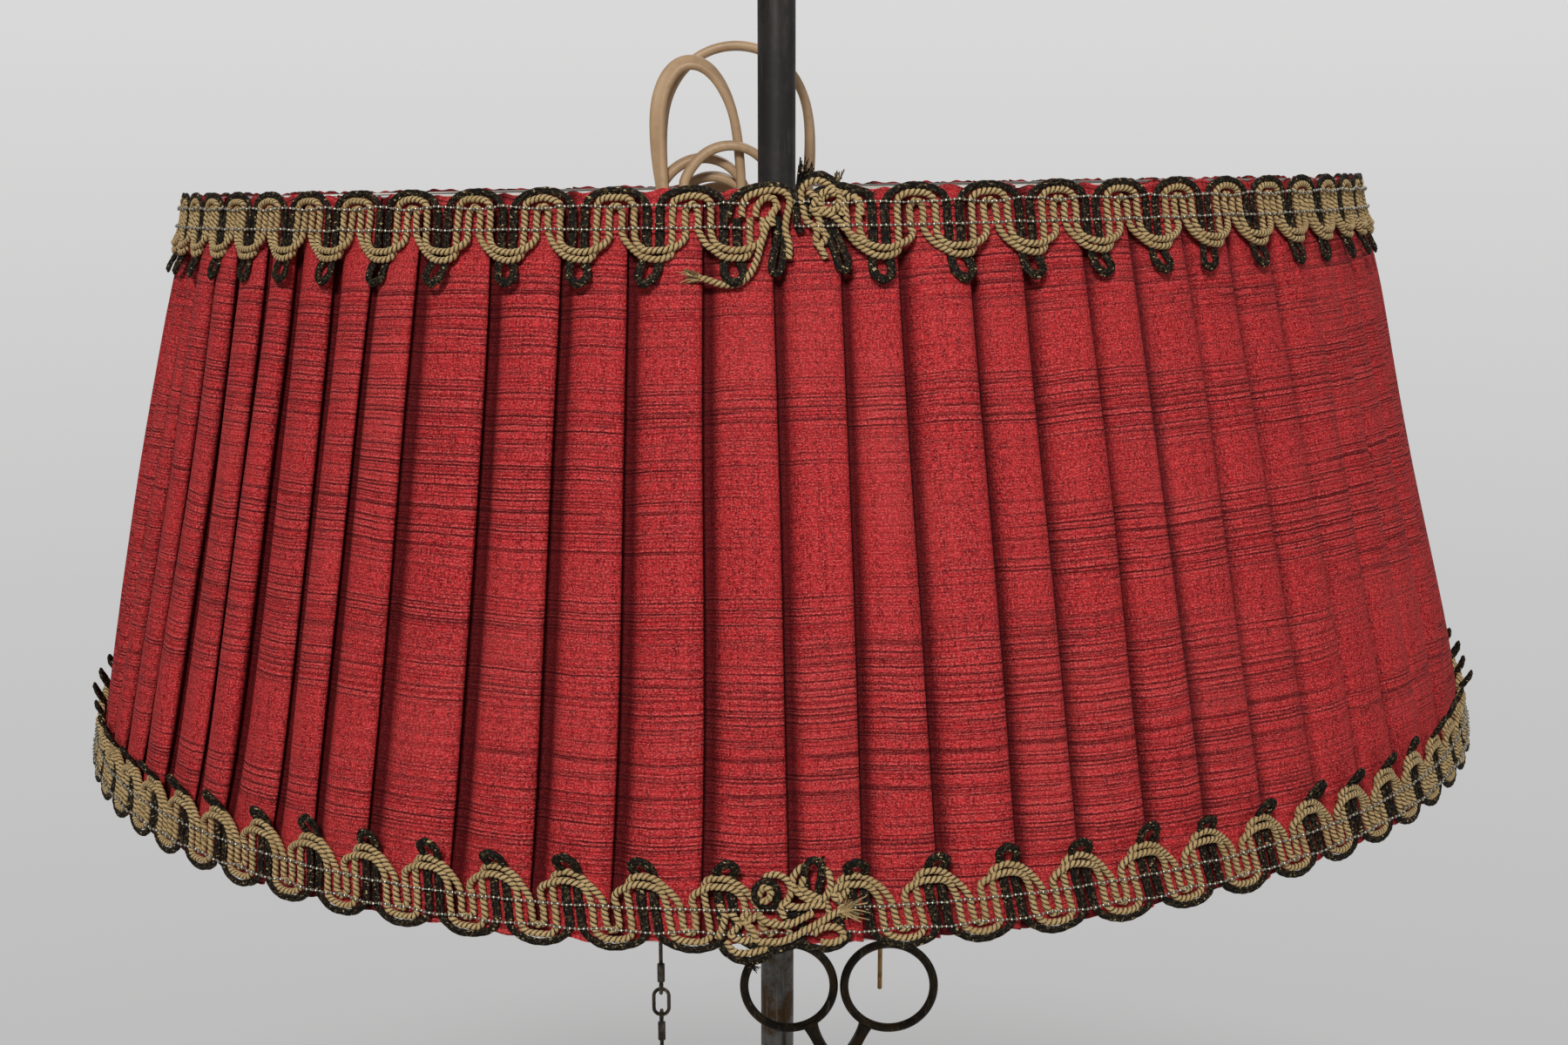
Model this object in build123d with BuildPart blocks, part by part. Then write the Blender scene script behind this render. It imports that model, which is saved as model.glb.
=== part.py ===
"""A tool-hung table lamp, changed over from oil to electric light.

A weighted foot and a turned stem carry a rod.  Round the rod sit a swivelling oil font with
three beaks, a slotted plate that the wick scissors stand in, and a disc that a wick pick and a
chained wick hook hang from.  A set collar slides on the blackened upper rod and carries a
two-light cluster, which swivels on it together with the pleated cloth shade.  The flat two-core
lead leaves the top of the cluster and stands behind the rod as a bundled coil.

Millimetres, +Z up, X to the right and Y to the back.  The origin is the middle of the felt's
underside, where the lamp stands.
"""

import os
from math import atan2, cos, degrees, radians, sin, sqrt

from build123d import *

# ---------------------------------------------------------------- driving dimensions
# Heights
rim_z = 690.0  # the shade's upper edge
shade_height = 182.0
foot_top_z = 40.0
stem_top_z = 174.0

# Rods
lower_rod_r = 6.25
upper_rod_r = 6.7
rod_joint_z = 497.0
spigot_r = 4.0
spigot_length = 20.0
rod_above_rim = 72.0

# Clearances
running = 0.05  # radial, a shaft that turns or slides in its bore
seat = 0.3  # between the faces of two pieces that turn on each other
lay_on = 0.05  # between two pieces that lie against each other

# Shade
top_r = 198.0  # outside of the pleats at the rim
bottom_r = 237.0  # outside of the pleats at the lower edge
shade_tilt = 0.95  # degrees, about the spider's hub: the right side hangs higher
pleat_depth = 3.2
ring_wire_r = 1.5
rib_wire_r = 1.25
rib_count = 6
arm_wire_r = 1.6
arm_count = 3
lining_wall = 0.8
lining_inset = 9.0  # how far the lining stays below the upper ring and above the lower
braid_width = 27.0
braid_thickness = 2.6
braid_proud = 2.0  # how far the lower braid's scallops hang past the cloth

# Light cluster, heights given from the rim downwards
cluster_r = 26.0
cluster_top = 92.0
cluster_height = 40.0
cluster_wall = 2.5
cap_thickness = 4.0
nipple_r = 9.0
hub_r = 14.0
hub_thickness = 4.0
nut_thickness = 5.0
socket_r = 13.5
socket_length = 44.0
bulb_cap_r = 7.0
bulb_cap_length = 22.0
bulb_r = 22.5
bulb_wall = 1.0
bulb_neck = 14.0
knob_r = 4.0
knob_length = 8.0
knob_shaft_r = 1.5
collar_r = 14.0
collar_height = 14.0
thumb_shaft_r = 2.5
wing_span = 12.5

# Lead
cord_width = 6.4
bushing_height = 21.0
coil_bottom = 68.0  # below the rim
coil_top = 54.0  # above the rim
plug_length = 34.0
plug_width = 24.0
plug_thickness = 15.0
plug_rise = 30.0  # its middle above the coil's lowest point
pin_length = 16.0
pin_pitch = 12.7

# Tools
tool_disc_z = 488.0
tool_disc_r = 45.5
tool_hole_ring = 40.5
chain_heading = 180.0
pick_heading = 25.0
tool_hole_r = 1.5
tool_disc_t = 2.4
wire_r = 0.7
hang_ring_r = 4.3
eye_r = 2.2
wrap_r = 1.45
wrap_length = 7.0
chain_oval_top_z = 385.5
chain_oval_height = 12.0
chain_oval_width = 7.2
low_link_length = 44.0
hook_length = 60.0
hook_wire_r = 1.1
pick_wire_r = 0.9
pick_bottom_z = 376.0

# Scissors, which stand in the slotted plate
scissors_x, scissors_y = 23.1, -22.0
scissors_pivot_z = 350.3
finger_ring_r = 16.7  # to the middle of the wire
finger_ring_wire = 1.6
finger_ring_rise = 46.0
blade_length = 60.0
blade_t = 2.6
blade_gap = 0.1
pivot_r = 2.0
rest_plate_t = 3.0
rest_arm_width = 11.0
rest_slot_width = 19.0
rest_slot_rim = 5.0

# Foot and font
foot_r = 95.0
felt_t = 2.0
font_r = 56.0
font_bottom_z = stem_top_z + seat
font_wall = 2.5
beak_count = 3
beak_reach = 92.0

# Ring handle
knob_height = 24.0
handle_r = 24.0
handle_wire_r = 3.2

# ---------------------------------------------------------------- values that follow
slope = (bottom_r - top_r) / shade_height
rod_top_z = rim_z + rod_above_rim
cluster_top_z = rim_z - cluster_top
cluster_bottom_z = cluster_top_z - cluster_height
slide_bore_r = upper_rod_r + running
lower_bore_r = lower_rod_r + running
socket_z = cluster_bottom_z + (cluster_height - cap_thickness) / 2
hub_z = cluster_top_z + lay_on
frame_r = top_r - pleat_depth - ring_wire_r - 2 * lay_on  # wire's middle, at the upper ring
top_ring_z = rim_z - ring_wire_r - 0.5
bottom_ring_z = rim_z - shade_height + ring_wire_r + 0.5


def shade_radius(z, inset=0.0):
    """The radius at height z of the cone that lies inset inside the pleats."""
    return top_r + slope * (rim_z - z) - inset


wire_inset = top_r + slope * (rim_z - top_ring_z) - frame_r
bottom_frame_r = shade_radius(bottom_ring_z, wire_inset)

os.makedirs("parts", exist_ok=True)


def keep(builder, name):
    """Labels a finished piece and writes it as a node of its own."""
    builder.part.label = name
    export_step(builder.part, f"parts/{name}.step")


def keep_tilted(builder, name):
    """Keeps a piece of the shade, tipped about the middle of the spider's hub."""
    pivot = Axis((0, 0, hub_z + hub_thickness / 2), (0, 1, 0))
    tipped = builder.part.rotate(pivot, -shade_tilt)
    tipped.label = name
    export_step(tipped, f"parts/{name}.step")


def turned(outline):
    """A piece turned about Z, from the (radius, height) corners of half its section."""
    with BuildPart() as piece:
        with BuildSketch(Plane.XZ):
            with BuildLine():
                Polyline(*outline, close=True)
            make_face()
        revolve(axis=Axis.Z)
    return piece


def turned_smooth(curve, closing):
    """A piece turned about Z whose outside is a smooth curve, closed by straight runs."""
    with BuildPart() as piece:
        with BuildSketch(Plane.XZ):
            with BuildLine():
                Spline(*curve)
                Polyline(curve[-1], *closing, curve[0])
            make_face()
        revolve(axis=Axis.Z)
    return piece


def cone_band(z_low, z_high, outer_inset, inner_inset):
    """A band that follows the shade's cone between two heights and two insets."""
    return turned([
        (shade_radius(z_low, inner_inset), z_low),
        (shade_radius(z_low, outer_inset), z_low),
        (shade_radius(z_high, outer_inset), z_high),
        (shade_radius(z_high, inner_inset), z_high),
    ])


# ---------------------------------------------------------------- foot, stem and rods
def make_foot():
    """The dished foot, its felt, its weight and the nut that draws the rod down."""
    keep(turned([(0, 0), (foot_r - 2, 0), (foot_r - 2, felt_t), (0, felt_t)]), "foot_felt")
    boss_under_z = foot_top_z - 12
    foot = turned_smooth(
        [(foot_r, felt_t + 5), (foot_r - 12, felt_t + 10), (foot_r - 45, felt_t + 17),
         (foot_r - 66, felt_t + 27), (18, foot_top_z)],
        [(lower_rod_r, foot_top_z), (lower_rod_r, boss_under_z), (16, boss_under_z),
         (foot_r - 43, felt_t + 10), (foot_r - 9, felt_t + 3.5), (foot_r - 9, felt_t),
         (foot_r, felt_t)],
    )
    keep(foot, "foot")
    keep(turned([(15, felt_t), (42, felt_t), (42, felt_t + 8), (15, felt_t + 8)]), "foot_weight")
    nut_thickness_m10 = 6.0
    with BuildPart() as nut:
        with BuildSketch(Plane.XY.offset(boss_under_z - nut_thickness_m10)):
            RegularPolygon(radius=9.5, side_count=6)
            Circle(lower_rod_r, mode=Mode.SUBTRACT)
        extrude(amount=nut_thickness_m10)
    keep(nut, "foot_nut")


def make_stem():
    """The turned baluster between the foot and the font."""
    z0, span = foot_top_z, stem_top_z - foot_top_z
    belly = [(16, 0.0), (18.5, 0.05), (11, 0.12), (8.6, 0.22), (12, 0.32), (18.5, 0.45),
             (17, 0.56), (10, 0.68), (8.4, 0.80), (10, 0.88), (19, 0.955)]
    stem = turned_smooth(
        [(r, z0 + t * span) for r, t in belly],
        [(22, stem_top_z - 3.5), (22, stem_top_z), (lower_rod_r, stem_top_z), (lower_rod_r, z0)],
    )
    keep(stem, "stem")


def make_rods():
    """The brass lower rod, and the blackened upper rod that fits over its spigot."""
    with BuildPart() as lower_rod:
        with BuildSketch(Plane.XY.offset(foot_top_z - 20)):
            Circle(lower_rod_r)
        extrude(amount=rod_joint_z - foot_top_z + 20)
        with BuildSketch(Plane.XY.offset(rod_joint_z)):
            Circle(spigot_r)
        extrude(amount=spigot_length)
    keep(lower_rod, "lower_rod")
    with BuildPart() as upper_rod:
        with BuildSketch(Plane.XY.offset(rod_joint_z)):
            Circle(upper_rod_r)
        extrude(amount=rod_top_z - rod_joint_z)
        with BuildSketch(Plane.XY.offset(rod_joint_z)):
            Circle(spigot_r)
        extrude(amount=spigot_length + 1, mode=Mode.SUBTRACT)
    keep(upper_rod, "upper_rod")


def make_handle():
    """The turned knob that caps the rod, and the ring the lamp is carried by."""
    z0 = rod_top_z
    knob = turned_smooth(
        [(8.5, z0 + 1.5), (10.5, z0 + 4), (6.4, z0 + 8), (9.6, z0 + 13), (9.0, z0 + 17),
         (5.5, z0 + knob_height)],
        [(0, z0 + knob_height), (0, z0), (8.5, z0)],
    )
    ring_centre_z = z0 + knob_height + handle_r + 1.5
    with BuildPart() as ring_handle:
        with Locations(Location((0, 0, ring_centre_z), (90, 0, 0))):
            Torus(handle_r, handle_wire_r)
        add(knob.part, mode=Mode.SUBTRACT)
    keep(knob, "finial_knob")
    keep(ring_handle, "ring_handle")


# ---------------------------------------------------------------- font
def make_font():
    """The oil font on its own tube, its lid, its three beaks and the collar that stops it."""
    z0 = font_bottom_z
    outer = [(15, z0 + 3), (36, z0 + 9), (font_r - 5, z0 + 23), (font_r, z0 + 38),
             (font_r - 5, z0 + 54), (font_r - 15, z0 + 65), (30, z0 + 70)]
    mouth_z = z0 + 73
    filled = turned_smooth(outer, [(30, mouth_z), (0, mouth_z), (0, z0), (15, z0)])
    inner = [(13, z0 + 6.5), (33, z0 + 12), (font_r - 8, z0 + 25), (font_r - font_wall, z0 + 38),
             (font_r - 7.5, z0 + 52.5), (font_r - 17, z0 + 62.5), (27, z0 + 67.5)]
    with BuildPart() as font_body:
        add(filled.part)
        with BuildSketch(Plane.XZ):
            with BuildLine():
                Spline(*inner)
                Polyline(inner[-1], (27, mouth_z), (8.5, mouth_z), (8.5, z0 + 6.5), inner[0])
            make_face()
        revolve(axis=Axis.Z, mode=Mode.SUBTRACT)
        with BuildSketch(Plane.XY.offset(z0)):
            Circle(lower_bore_r)
        extrude(amount=mouth_z - z0, mode=Mode.SUBTRACT)
    keep(font_body, "font_body")

    lid_z = mouth_z + lay_on
    lid_top_z = lid_z + 22
    lid = turned_smooth(
        [(31, lid_z + 2.5), (25, lid_z + 8), (15, lid_z + 11), (9.5, lid_z + 17)],
        [(9.5, lid_top_z), (lower_bore_r, lid_top_z), (lower_bore_r, lid_z), (31, lid_z)],
    )
    keep(lid, "font_lid")
    stop_z = lid_top_z + seat
    keep(turned([(lower_rod_r, stop_z), (10, stop_z), (10, stop_z + 6), (lower_rod_r, stop_z + 6)]),
         "font_stop_collar")

    beak_z, beak_tilt, root_r, tip_r, wick_r = z0 + 40, 14.0, 12.0, 6.0, 1.8
    for n in range(beak_count):
        heading = 90 + n * 360 / beak_count
        with BuildPart() as beak:
            start = Plane((0, 0, beak_z), x_dir=(-sin(radians(heading)), cos(radians(heading)), 0),
                          z_dir=(cos(radians(heading)) * cos(radians(beak_tilt)),
                                 sin(radians(heading)) * cos(radians(beak_tilt)),
                                 sin(radians(beak_tilt))))
            with BuildSketch(start.offset(font_r - 14)):
                Circle(root_r)
            with BuildSketch(start.offset(beak_reach - 10)):
                Circle(tip_r)
            with BuildSketch(start.offset(beak_reach)):
                Circle(tip_r + 2)
            loft(ruled=True)
            with BuildSketch(start.offset(beak_reach - 15)):
                Circle(wick_r)
            extrude(amount=16, mode=Mode.SUBTRACT)
            add(filled.part, mode=Mode.SUBTRACT)
        keep(beak, f"font_beak_{n + 1}")


# ---------------------------------------------------------------- tools on the rod
def make_tool_plates():
    """The disc that tools hang from, and the slotted plate that the scissors stand in."""
    with BuildPart() as tool_disc:
        with BuildSketch(Plane.XY.offset(tool_disc_z - tool_disc_t / 2)):
            Circle(tool_disc_r)
        extrude(amount=tool_disc_t)
        with BuildSketch(Plane.XY.offset(tool_disc_z - 7)):
            Circle(11)
        extrude(amount=12)
        with BuildSketch(Plane.XY.offset(tool_disc_z - 8)):
            Circle(lower_rod_r)
            for heading in (chain_heading, pick_heading):
                with PolarLocations(tool_hole_ring, 1, start_angle=heading):
                    Circle(tool_hole_r)
        extrude(amount=16, mode=Mode.SUBTRACT)
    keep(tool_disc, "tool_disc")

    plate_top_z = scissors_pivot_z - pivot_r - lay_on
    slot_depth = 2 * blade_t + 3.4
    reach = sqrt(scissors_x**2 + scissors_y**2)
    with BuildPart() as rest:
        with BuildSketch(Plane.XY.offset(plate_top_z - rest_plate_t)):
            with Locations((scissors_x, scissors_y)):
                RectangleRounded(rest_slot_width + 2 * rest_slot_rim, slot_depth + 2 * rest_slot_rim, 4)
            with Locations(Location((scissors_x / 2, scissors_y / 2, 0),
                                    (0, 0, degrees(atan2(scissors_y, scissors_x))))):
                Rectangle(reach, rest_arm_width)
        extrude(amount=rest_plate_t)
        with BuildSketch(Plane.XY.offset(plate_top_z - 9)):
            Circle(11)
        extrude(amount=12)
        with BuildSketch(Plane.XY.offset(plate_top_z - 10)):
            Circle(lower_rod_r)
            with Locations((scissors_x, scissors_y)):
                Rectangle(rest_slot_width, slot_depth)
        extrude(amount=16, mode=Mode.SUBTRACT)
    keep(rest, "scissors_rest")


def scissors_half(side):
    """One half of the scissors: a finger ring, its shank and its blade.

    side is -1 for the half whose finger ring is on the left, and 1 for the other.
    """
    layer = Plane((scissors_x, scissors_y, scissors_pivot_z), x_dir=(1, 0, 0), z_dir=(0, -1, 0))
    s = -side  # the outline below is drawn for the left ring
    ring_x = side * (finger_ring_r + finger_ring_wire + 0.35)
    near, far = blade_gap / 2, blade_gap / 2 + blade_t
    with BuildPart() as half:
        with BuildSketch(layer.offset(near if side < 0 else -far)):
            with BuildLine():
                Spline((s * -13.5, 30.6), (s * -7.2, 18), (s * -4.7, 5), (s * -4.5, -4))
                Polyline((s * -4.5, -4), (s * -2.0, -12), (s * -0.5, -blade_length + 1.5),
                         (s * 0.4, -blade_length), (s * 4.6, -12), (s * 4.6, 3))
                Spline((s * 4.6, 3), (s * 1.2, 14), (s * -5.2, 24), (s * -8.0, 33.4))
                Line((s * -8.0, 33.4), (s * -13.5, 30.6))
            make_face()
        extrude(amount=blade_t)
        centre = (scissors_x + ring_x, scissors_y, scissors_pivot_z + finger_ring_rise)
        with Locations(Location(centre, (90, 0, 0))):
            Torus(finger_ring_r, finger_ring_wire)
        with BuildSketch(layer.offset(-far - 1)):
            Circle(pivot_r + running)
        extrude(amount=2 * far + 2, mode=Mode.SUBTRACT)
    return half


def make_scissors():
    """Both halves, and the square-ended screw they turn on and stand by."""
    keep(scissors_half(-1), "scissors_half_left")
    keep(scissors_half(1), "scissors_half_right")
    reach = blade_gap / 2 + blade_t
    layer = Plane((scissors_x, scissors_y, scissors_pivot_z), x_dir=(1, 0, 0), z_dir=(0, -1, 0))
    with BuildPart() as screw:
        with BuildSketch(layer.offset(-reach - 5)):
            Circle(pivot_r)
        extrude(amount=2 * reach + 10)
        with BuildSketch(layer.offset(reach + lay_on)):
            Circle(3.4)
        extrude(amount=1.2)
        for outward in (-1, 1):
            with Locations((scissors_x, scissors_y + outward * (reach + 4), scissors_pivot_z)):
                Box(2 * pivot_r, 3.2, 2 * pivot_r)
    keep(screw, "scissors_screw")


def wire_eye(centre, turn):
    """A small closed eye bent from wire; turn tips it out of the XY plane."""
    with Locations(Location(centre, turn)):
        Torus(eye_r, wire_r)


facing_x, facing_y = (0, 90, 0), (90, 0, 0)


def hung_wire(top_z, bottom_z, stem_r, lower_eye):
    """A straight wire under an eye, with the wire's end wrapped below the eye."""
    with BuildPart() as piece:
        wire_eye((0, 0, top_z), facing_x)
        start_z = top_z - eye_r - 0.3
        end_z = bottom_z + eye_r + 0.3 if lower_eye else bottom_z
        with BuildSketch(Plane((0, 0, end_z))):
            Circle(stem_r)
        extrude(amount=start_z - end_z)
        with BuildSketch(Plane((0, 0, start_z - wrap_length))):
            Circle(max(wrap_r, stem_r + 0.5))
        extrude(amount=wrap_length)
        if lower_eye:
            wire_eye((0, 0, bottom_z), lower_eye)
            with BuildSketch(Plane((0, 0, end_z))):
                Circle(wrap_r)
            extrude(amount=wrap_length)
    return piece


def keep_hung(builder, name, heading):
    """Keeps a piece that was made on the Z axis, moved out under its hole in the tool disc."""
    hang_r = tool_hole_ring + hang_ring_r
    place = Location((hang_r * cos(radians(heading)), hang_r * sin(radians(heading)), 0),
                     (0, 0, heading))
    moved = builder.part.moved(place)
    moved.label = name
    export_step(moved, f"parts/{name}.step")


def make_hanging_tools():
    """The chained wick hook on the left, and the wick pick on the right."""
    grip = eye_r - 2 * wire_r - 0.1  # an eye's centre hangs this far under the wire it holds
    with BuildPart() as hang_rings:
        for heading in (chain_heading, pick_heading):
            with PolarLocations(tool_hole_ring + hang_ring_r, 1, start_angle=heading):
                with Locations(Location((0, 0, tool_disc_z), facing_y)):
                    Torus(hang_ring_r, wire_r)
    keep(hang_rings, "hang_rings")
    first_eye_z = tool_disc_z - hang_ring_r - grip
    oval_wire_top_z = chain_oval_top_z - wire_r
    top_link = hung_wire(first_eye_z, oval_wire_top_z + grip, wire_r + 0.05, facing_x)
    keep_hung(top_link, "chain_top_link", chain_heading)

    half_height = chain_oval_height / 2 - wire_r
    half_width = chain_oval_width / 2 - wire_r
    oval_z = chain_oval_top_z - chain_oval_height / 2
    straight = half_height - half_width
    with BuildPart() as oval:
        with BuildLine() as bend:
            Line((-half_width, 0, oval_z - straight), (-half_width, 0, oval_z + straight))
            ThreePointArc((-half_width, 0, oval_z + straight), (0, 0, oval_z + half_height),
                          (half_width, 0, oval_z + straight))
            Line((half_width, 0, oval_z + straight), (half_width, 0, oval_z - straight))
            ThreePointArc((half_width, 0, oval_z - straight), (0, 0, oval_z - half_height),
                          (-half_width, 0, oval_z - straight))
        with BuildSketch(Plane((-half_width, 0, oval_z - straight))):
            Circle(wire_r)
        sweep(path=bend.wire())
    keep_hung(oval, "chain_oval_link", chain_heading)

    low_eye_z = oval_z - half_height - grip
    low_bottom_z = low_eye_z - low_link_length
    low_link = hung_wire(low_eye_z, low_bottom_z, wire_r + 0.05, facing_y)
    keep_hung(low_link, "chain_low_link", chain_heading)

    tool_eye_z = low_bottom_z - eye_r - grip
    tool_bottom_z = tool_eye_z - hook_length
    with BuildPart() as hook:
        wire_eye((0, 0, tool_eye_z), facing_x)
        with BuildSketch(Plane((0, 0, tool_bottom_z))):
            Circle(hook_wire_r)
        extrude(amount=tool_eye_z - tool_bottom_z - eye_r - 0.2)
        with BuildLine() as tip:
            ThreePointArc((0, 0, tool_bottom_z), (4, 0, tool_bottom_z - 4), (8, 0, tool_bottom_z))
        with BuildSketch(Plane((0, 0, tool_bottom_z), z_dir=(0, 0, -1))):
            Circle(hook_wire_r)
        sweep(path=tip.wire())
    keep_hung(hook, "wick_hook", chain_heading)

    with BuildPart() as pick:
        add(hung_wire(first_eye_z, pick_bottom_z, pick_wire_r, None).part)
        fillet(pick.edges().filter_by(GeomType.CIRCLE).group_by(Axis.Z)[0], 0.5)
    keep_hung(pick, "wick_pick", pick_heading)


# ---------------------------------------------------------------- light cluster
def make_set_collar():
    """The collar that slides on the rod, and the wing-headed screw that locks it."""
    top_z = cluster_bottom_z - seat
    screw_z = top_z - collar_height / 2
    with BuildPart() as collar:
        with BuildSketch(Plane.XY.offset(top_z - collar_height)):
            Circle(collar_r)
            Circle(slide_bore_r, mode=Mode.SUBTRACT)
        extrude(amount=collar_height)
        chamfer(collar.edges().filter_by(GeomType.CIRCLE).filter_by(
            lambda e: e.radius > collar_r - 1), 1.0)
        with BuildSketch(Plane((0, 0, screw_z), x_dir=(1, 0, 0), z_dir=(0, -1, 0))):
            Circle(thumb_shaft_r + running)
        extrude(amount=collar_r + 2, mode=Mode.SUBTRACT)
    keep(collar, "set_collar")
    facing = Plane((0, -slide_bore_r - running, screw_z), x_dir=(1, 0, 0), z_dir=(0, -1, 0))
    shaft = collar_r - slide_bore_r + 2
    with BuildPart() as thumb_screw:
        with BuildSketch(facing):
            Circle(thumb_shaft_r)
        extrude(amount=shaft + 3)
        with BuildSketch(facing.offset(shaft)):
            Circle(4.6)
        extrude(amount=3)
        with BuildSketch(facing.offset(shaft + 2.5)):
            RectangleRounded(wing_span, 3.2, 1.2)
        extrude(amount=12)
        fillet(thumb_screw.faces().sort_by(Axis.Y)[0].edges(), 1.0)
    keep(thumb_screw, "thumb_screw")


def make_cluster():
    """The round wiring box, its cap with the hollow nipple, and the lead's bushing."""
    with BuildPart() as box:
        with BuildSketch(Plane.XY.offset(cluster_bottom_z)):
            Circle(cluster_r)
        extrude(amount=cluster_height - cap_thickness)
        with BuildSketch(Plane.XY.offset(cluster_bottom_z + cluster_wall)):
            Circle(cluster_r - cluster_wall)
        extrude(amount=cluster_height, mode=Mode.SUBTRACT)
        with BuildSketch(Plane.XY.offset(cluster_bottom_z - 1)):
            Circle(slide_bore_r)
        extrude(amount=cluster_wall + 2, mode=Mode.SUBTRACT)
    keep(box, "cluster_box")
    bushing_y, bushing_r = 19.5, 4.6
    bushing_z = cluster_top_z
    with BuildPart() as cap:
        with BuildSketch(Plane.XY.offset(cluster_top_z - cap_thickness)):
            Circle(cluster_r)
        extrude(amount=cap_thickness)
        fillet(cap.edges().group_by(Axis.Z)[-1], 1.2)
        with BuildSketch(Plane.XY.offset(cluster_top_z)):
            Circle(nipple_r)
        extrude(amount=hub_thickness + nut_thickness + 3)
        with BuildSketch(Plane.XY.offset(cluster_top_z - cap_thickness - 1)):
            Circle(slide_bore_r)
            with Locations((cord_start[0], bushing_y)):
                Circle(bushing_r - 1.6)
        extrude(amount=40, mode=Mode.SUBTRACT)
    keep(cap, "cluster_cap")
    with BuildPart() as bushing:
        with BuildSketch(Plane((cord_start[0], bushing_y, bushing_z))):
            Circle(bushing_r)
        extrude(amount=2)
        with BuildSketch(Plane((cord_start[0], bushing_y, bushing_z + 2))):
            Circle(bushing_r - 0.4)
        extrude(amount=cord_start[2] - bushing_z - 2, taper=4)
    keep(bushing, "cord_bushing")


cord_start = (-4.0, 19.5, cluster_top_z + bushing_height)


def make_lead():
    """The lead between bushing and coil, the coil's outer shape, and the plug lying beside it."""
    coil_bottom_z, coil_top_z = rim_z - coil_bottom, rim_z + coil_top
    with BuildPart() as lead:
        with BuildSketch(Plane(cord_start)):
            Circle(cord_width / 2)
        extrude(amount=coil_bottom_z - cord_start[2])
    keep(lead, "cord_lead")
    sections = [  # (height, middle x, middle y, width, depth)
        (coil_bottom_z, -17, 32, 60, 36),
        (rim_z + 8, -18, 32, 70, 38),
        (coil_top_z, -16, 32, 58, 32),
    ]
    with BuildPart() as coil:
        for z, x, y, width, depth in sections:
            with BuildSketch(Plane((x, y, z))):
                RectangleRounded(width, depth, 9)
        loft(ruled=True)
    keep(coil, "cord_coil")
    plug_z = coil_bottom_z + plug_rise
    plug_x, plug_y = -46.0, 46.0  # its cord end, let into the coil's side
    pin_x, pin_y = plug_x - plug_length - pin_length / 2, pin_pitch / 2
    with BuildPart() as plug:
        with BuildSketch(Plane((plug_x, plug_y, plug_z), x_dir=(0, 1, 0), z_dir=(-1, 0, 0))):
            RectangleRounded(plug_width * 0.62, plug_thickness * 0.62, 3.5)
        with BuildSketch(Plane((plug_x - plug_length, plug_y, plug_z), x_dir=(0, 1, 0),
                               z_dir=(-1, 0, 0))):
            RectangleRounded(plug_width, plug_thickness, 3.5)
        loft()
        add(coil.part, mode=Mode.SUBTRACT)
    keep(plug, "plug_body")
    with BuildPart() as pins:
        with Locations((pin_x, plug_y - pin_y, plug_z), (pin_x, plug_y + pin_y, plug_z)):
            Box(pin_length, 1.5, 6.3)
        fillet(pins.edges().filter_by(Axis.Y).group_by(Axis.X)[0], 0.7)
    keep(pins, "plug_pins")


def make_light(side, name):
    """A socket on the cluster, its bulb and cap, and its turn knob. side is 1 or -1 along X."""
    out = Plane((0, 0, socket_z), x_dir=(0, side, 0), z_dir=(side, 0, 0))
    mouth = cluster_r + socket_length
    knob_x = side * (cluster_r + 20)
    shaft_top_z = socket_z - bulb_cap_r - 2.2
    with BuildPart() as socket:
        with BuildSketch(out.offset(cluster_r - 4)):
            Circle(socket_r)
        extrude(amount=socket_length + 4)
        with BuildSketch(out.offset(mouth - bulb_cap_length)):
            Circle(bulb_cap_r + 0.3)
        extrude(amount=bulb_cap_length + 1, mode=Mode.SUBTRACT)
        with BuildSketch(Plane.XY.offset(cluster_bottom_z - 1)):
            Circle(cluster_r)
        extrude(amount=cluster_height + 2, mode=Mode.SUBTRACT)
        with BuildSketch(Plane((knob_x, 0, shaft_top_z), z_dir=(0, 0, -1))):
            Circle(knob_shaft_r + running)
        extrude(amount=socket_r, mode=Mode.SUBTRACT)
    keep(socket, f"socket_{name}")
    with BuildPart() as bulb_cap:
        with BuildSketch(out.offset(mouth - bulb_cap_length + lay_on)):
            Circle(bulb_cap_r)
        extrude(amount=bulb_cap_length)
    keep(bulb_cap, f"bulb_cap_{name}")
    centre = mouth + bulb_neck + sqrt(bulb_r**2 - (bulb_cap_r + 1) ** 2) - 5
    with BuildPart() as bulb:
        with BuildSketch(out.offset(mouth + 2 * lay_on)):
            Circle(bulb_cap_r + 1)
        extrude(amount=centre - mouth)
        with Locations((side * centre, 0, socket_z)):
            Sphere(bulb_r)
        with BuildSketch(out.offset(mouth + 1)):
            Circle(bulb_cap_r + 1 - bulb_wall)
        extrude(amount=centre - mouth, mode=Mode.SUBTRACT)
        with Locations((side * centre, 0, socket_z)):
            Sphere(bulb_r - bulb_wall, mode=Mode.SUBTRACT)
    keep(bulb, f"bulb_{name}")
    with BuildPart() as knob:
        with BuildSketch(Plane((knob_x, 0, shaft_top_z - 0.3), z_dir=(0, 0, -1))):
            Circle(knob_shaft_r)
        extrude(amount=socket_r)
        with BuildSketch(Plane((knob_x, 0, socket_z - socket_r - 1.5), z_dir=(0, 0, -1))):
            Circle(knob_r)
        extrude(amount=knob_length)
        with Locations((knob_x, 0, socket_z - socket_r - 1.5 - knob_length / 2 - 1)):
            Box(2.4, 2 * knob_r + 3, knob_length - 2)
    keep(knob, f"switch_knob_{name}")


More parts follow.
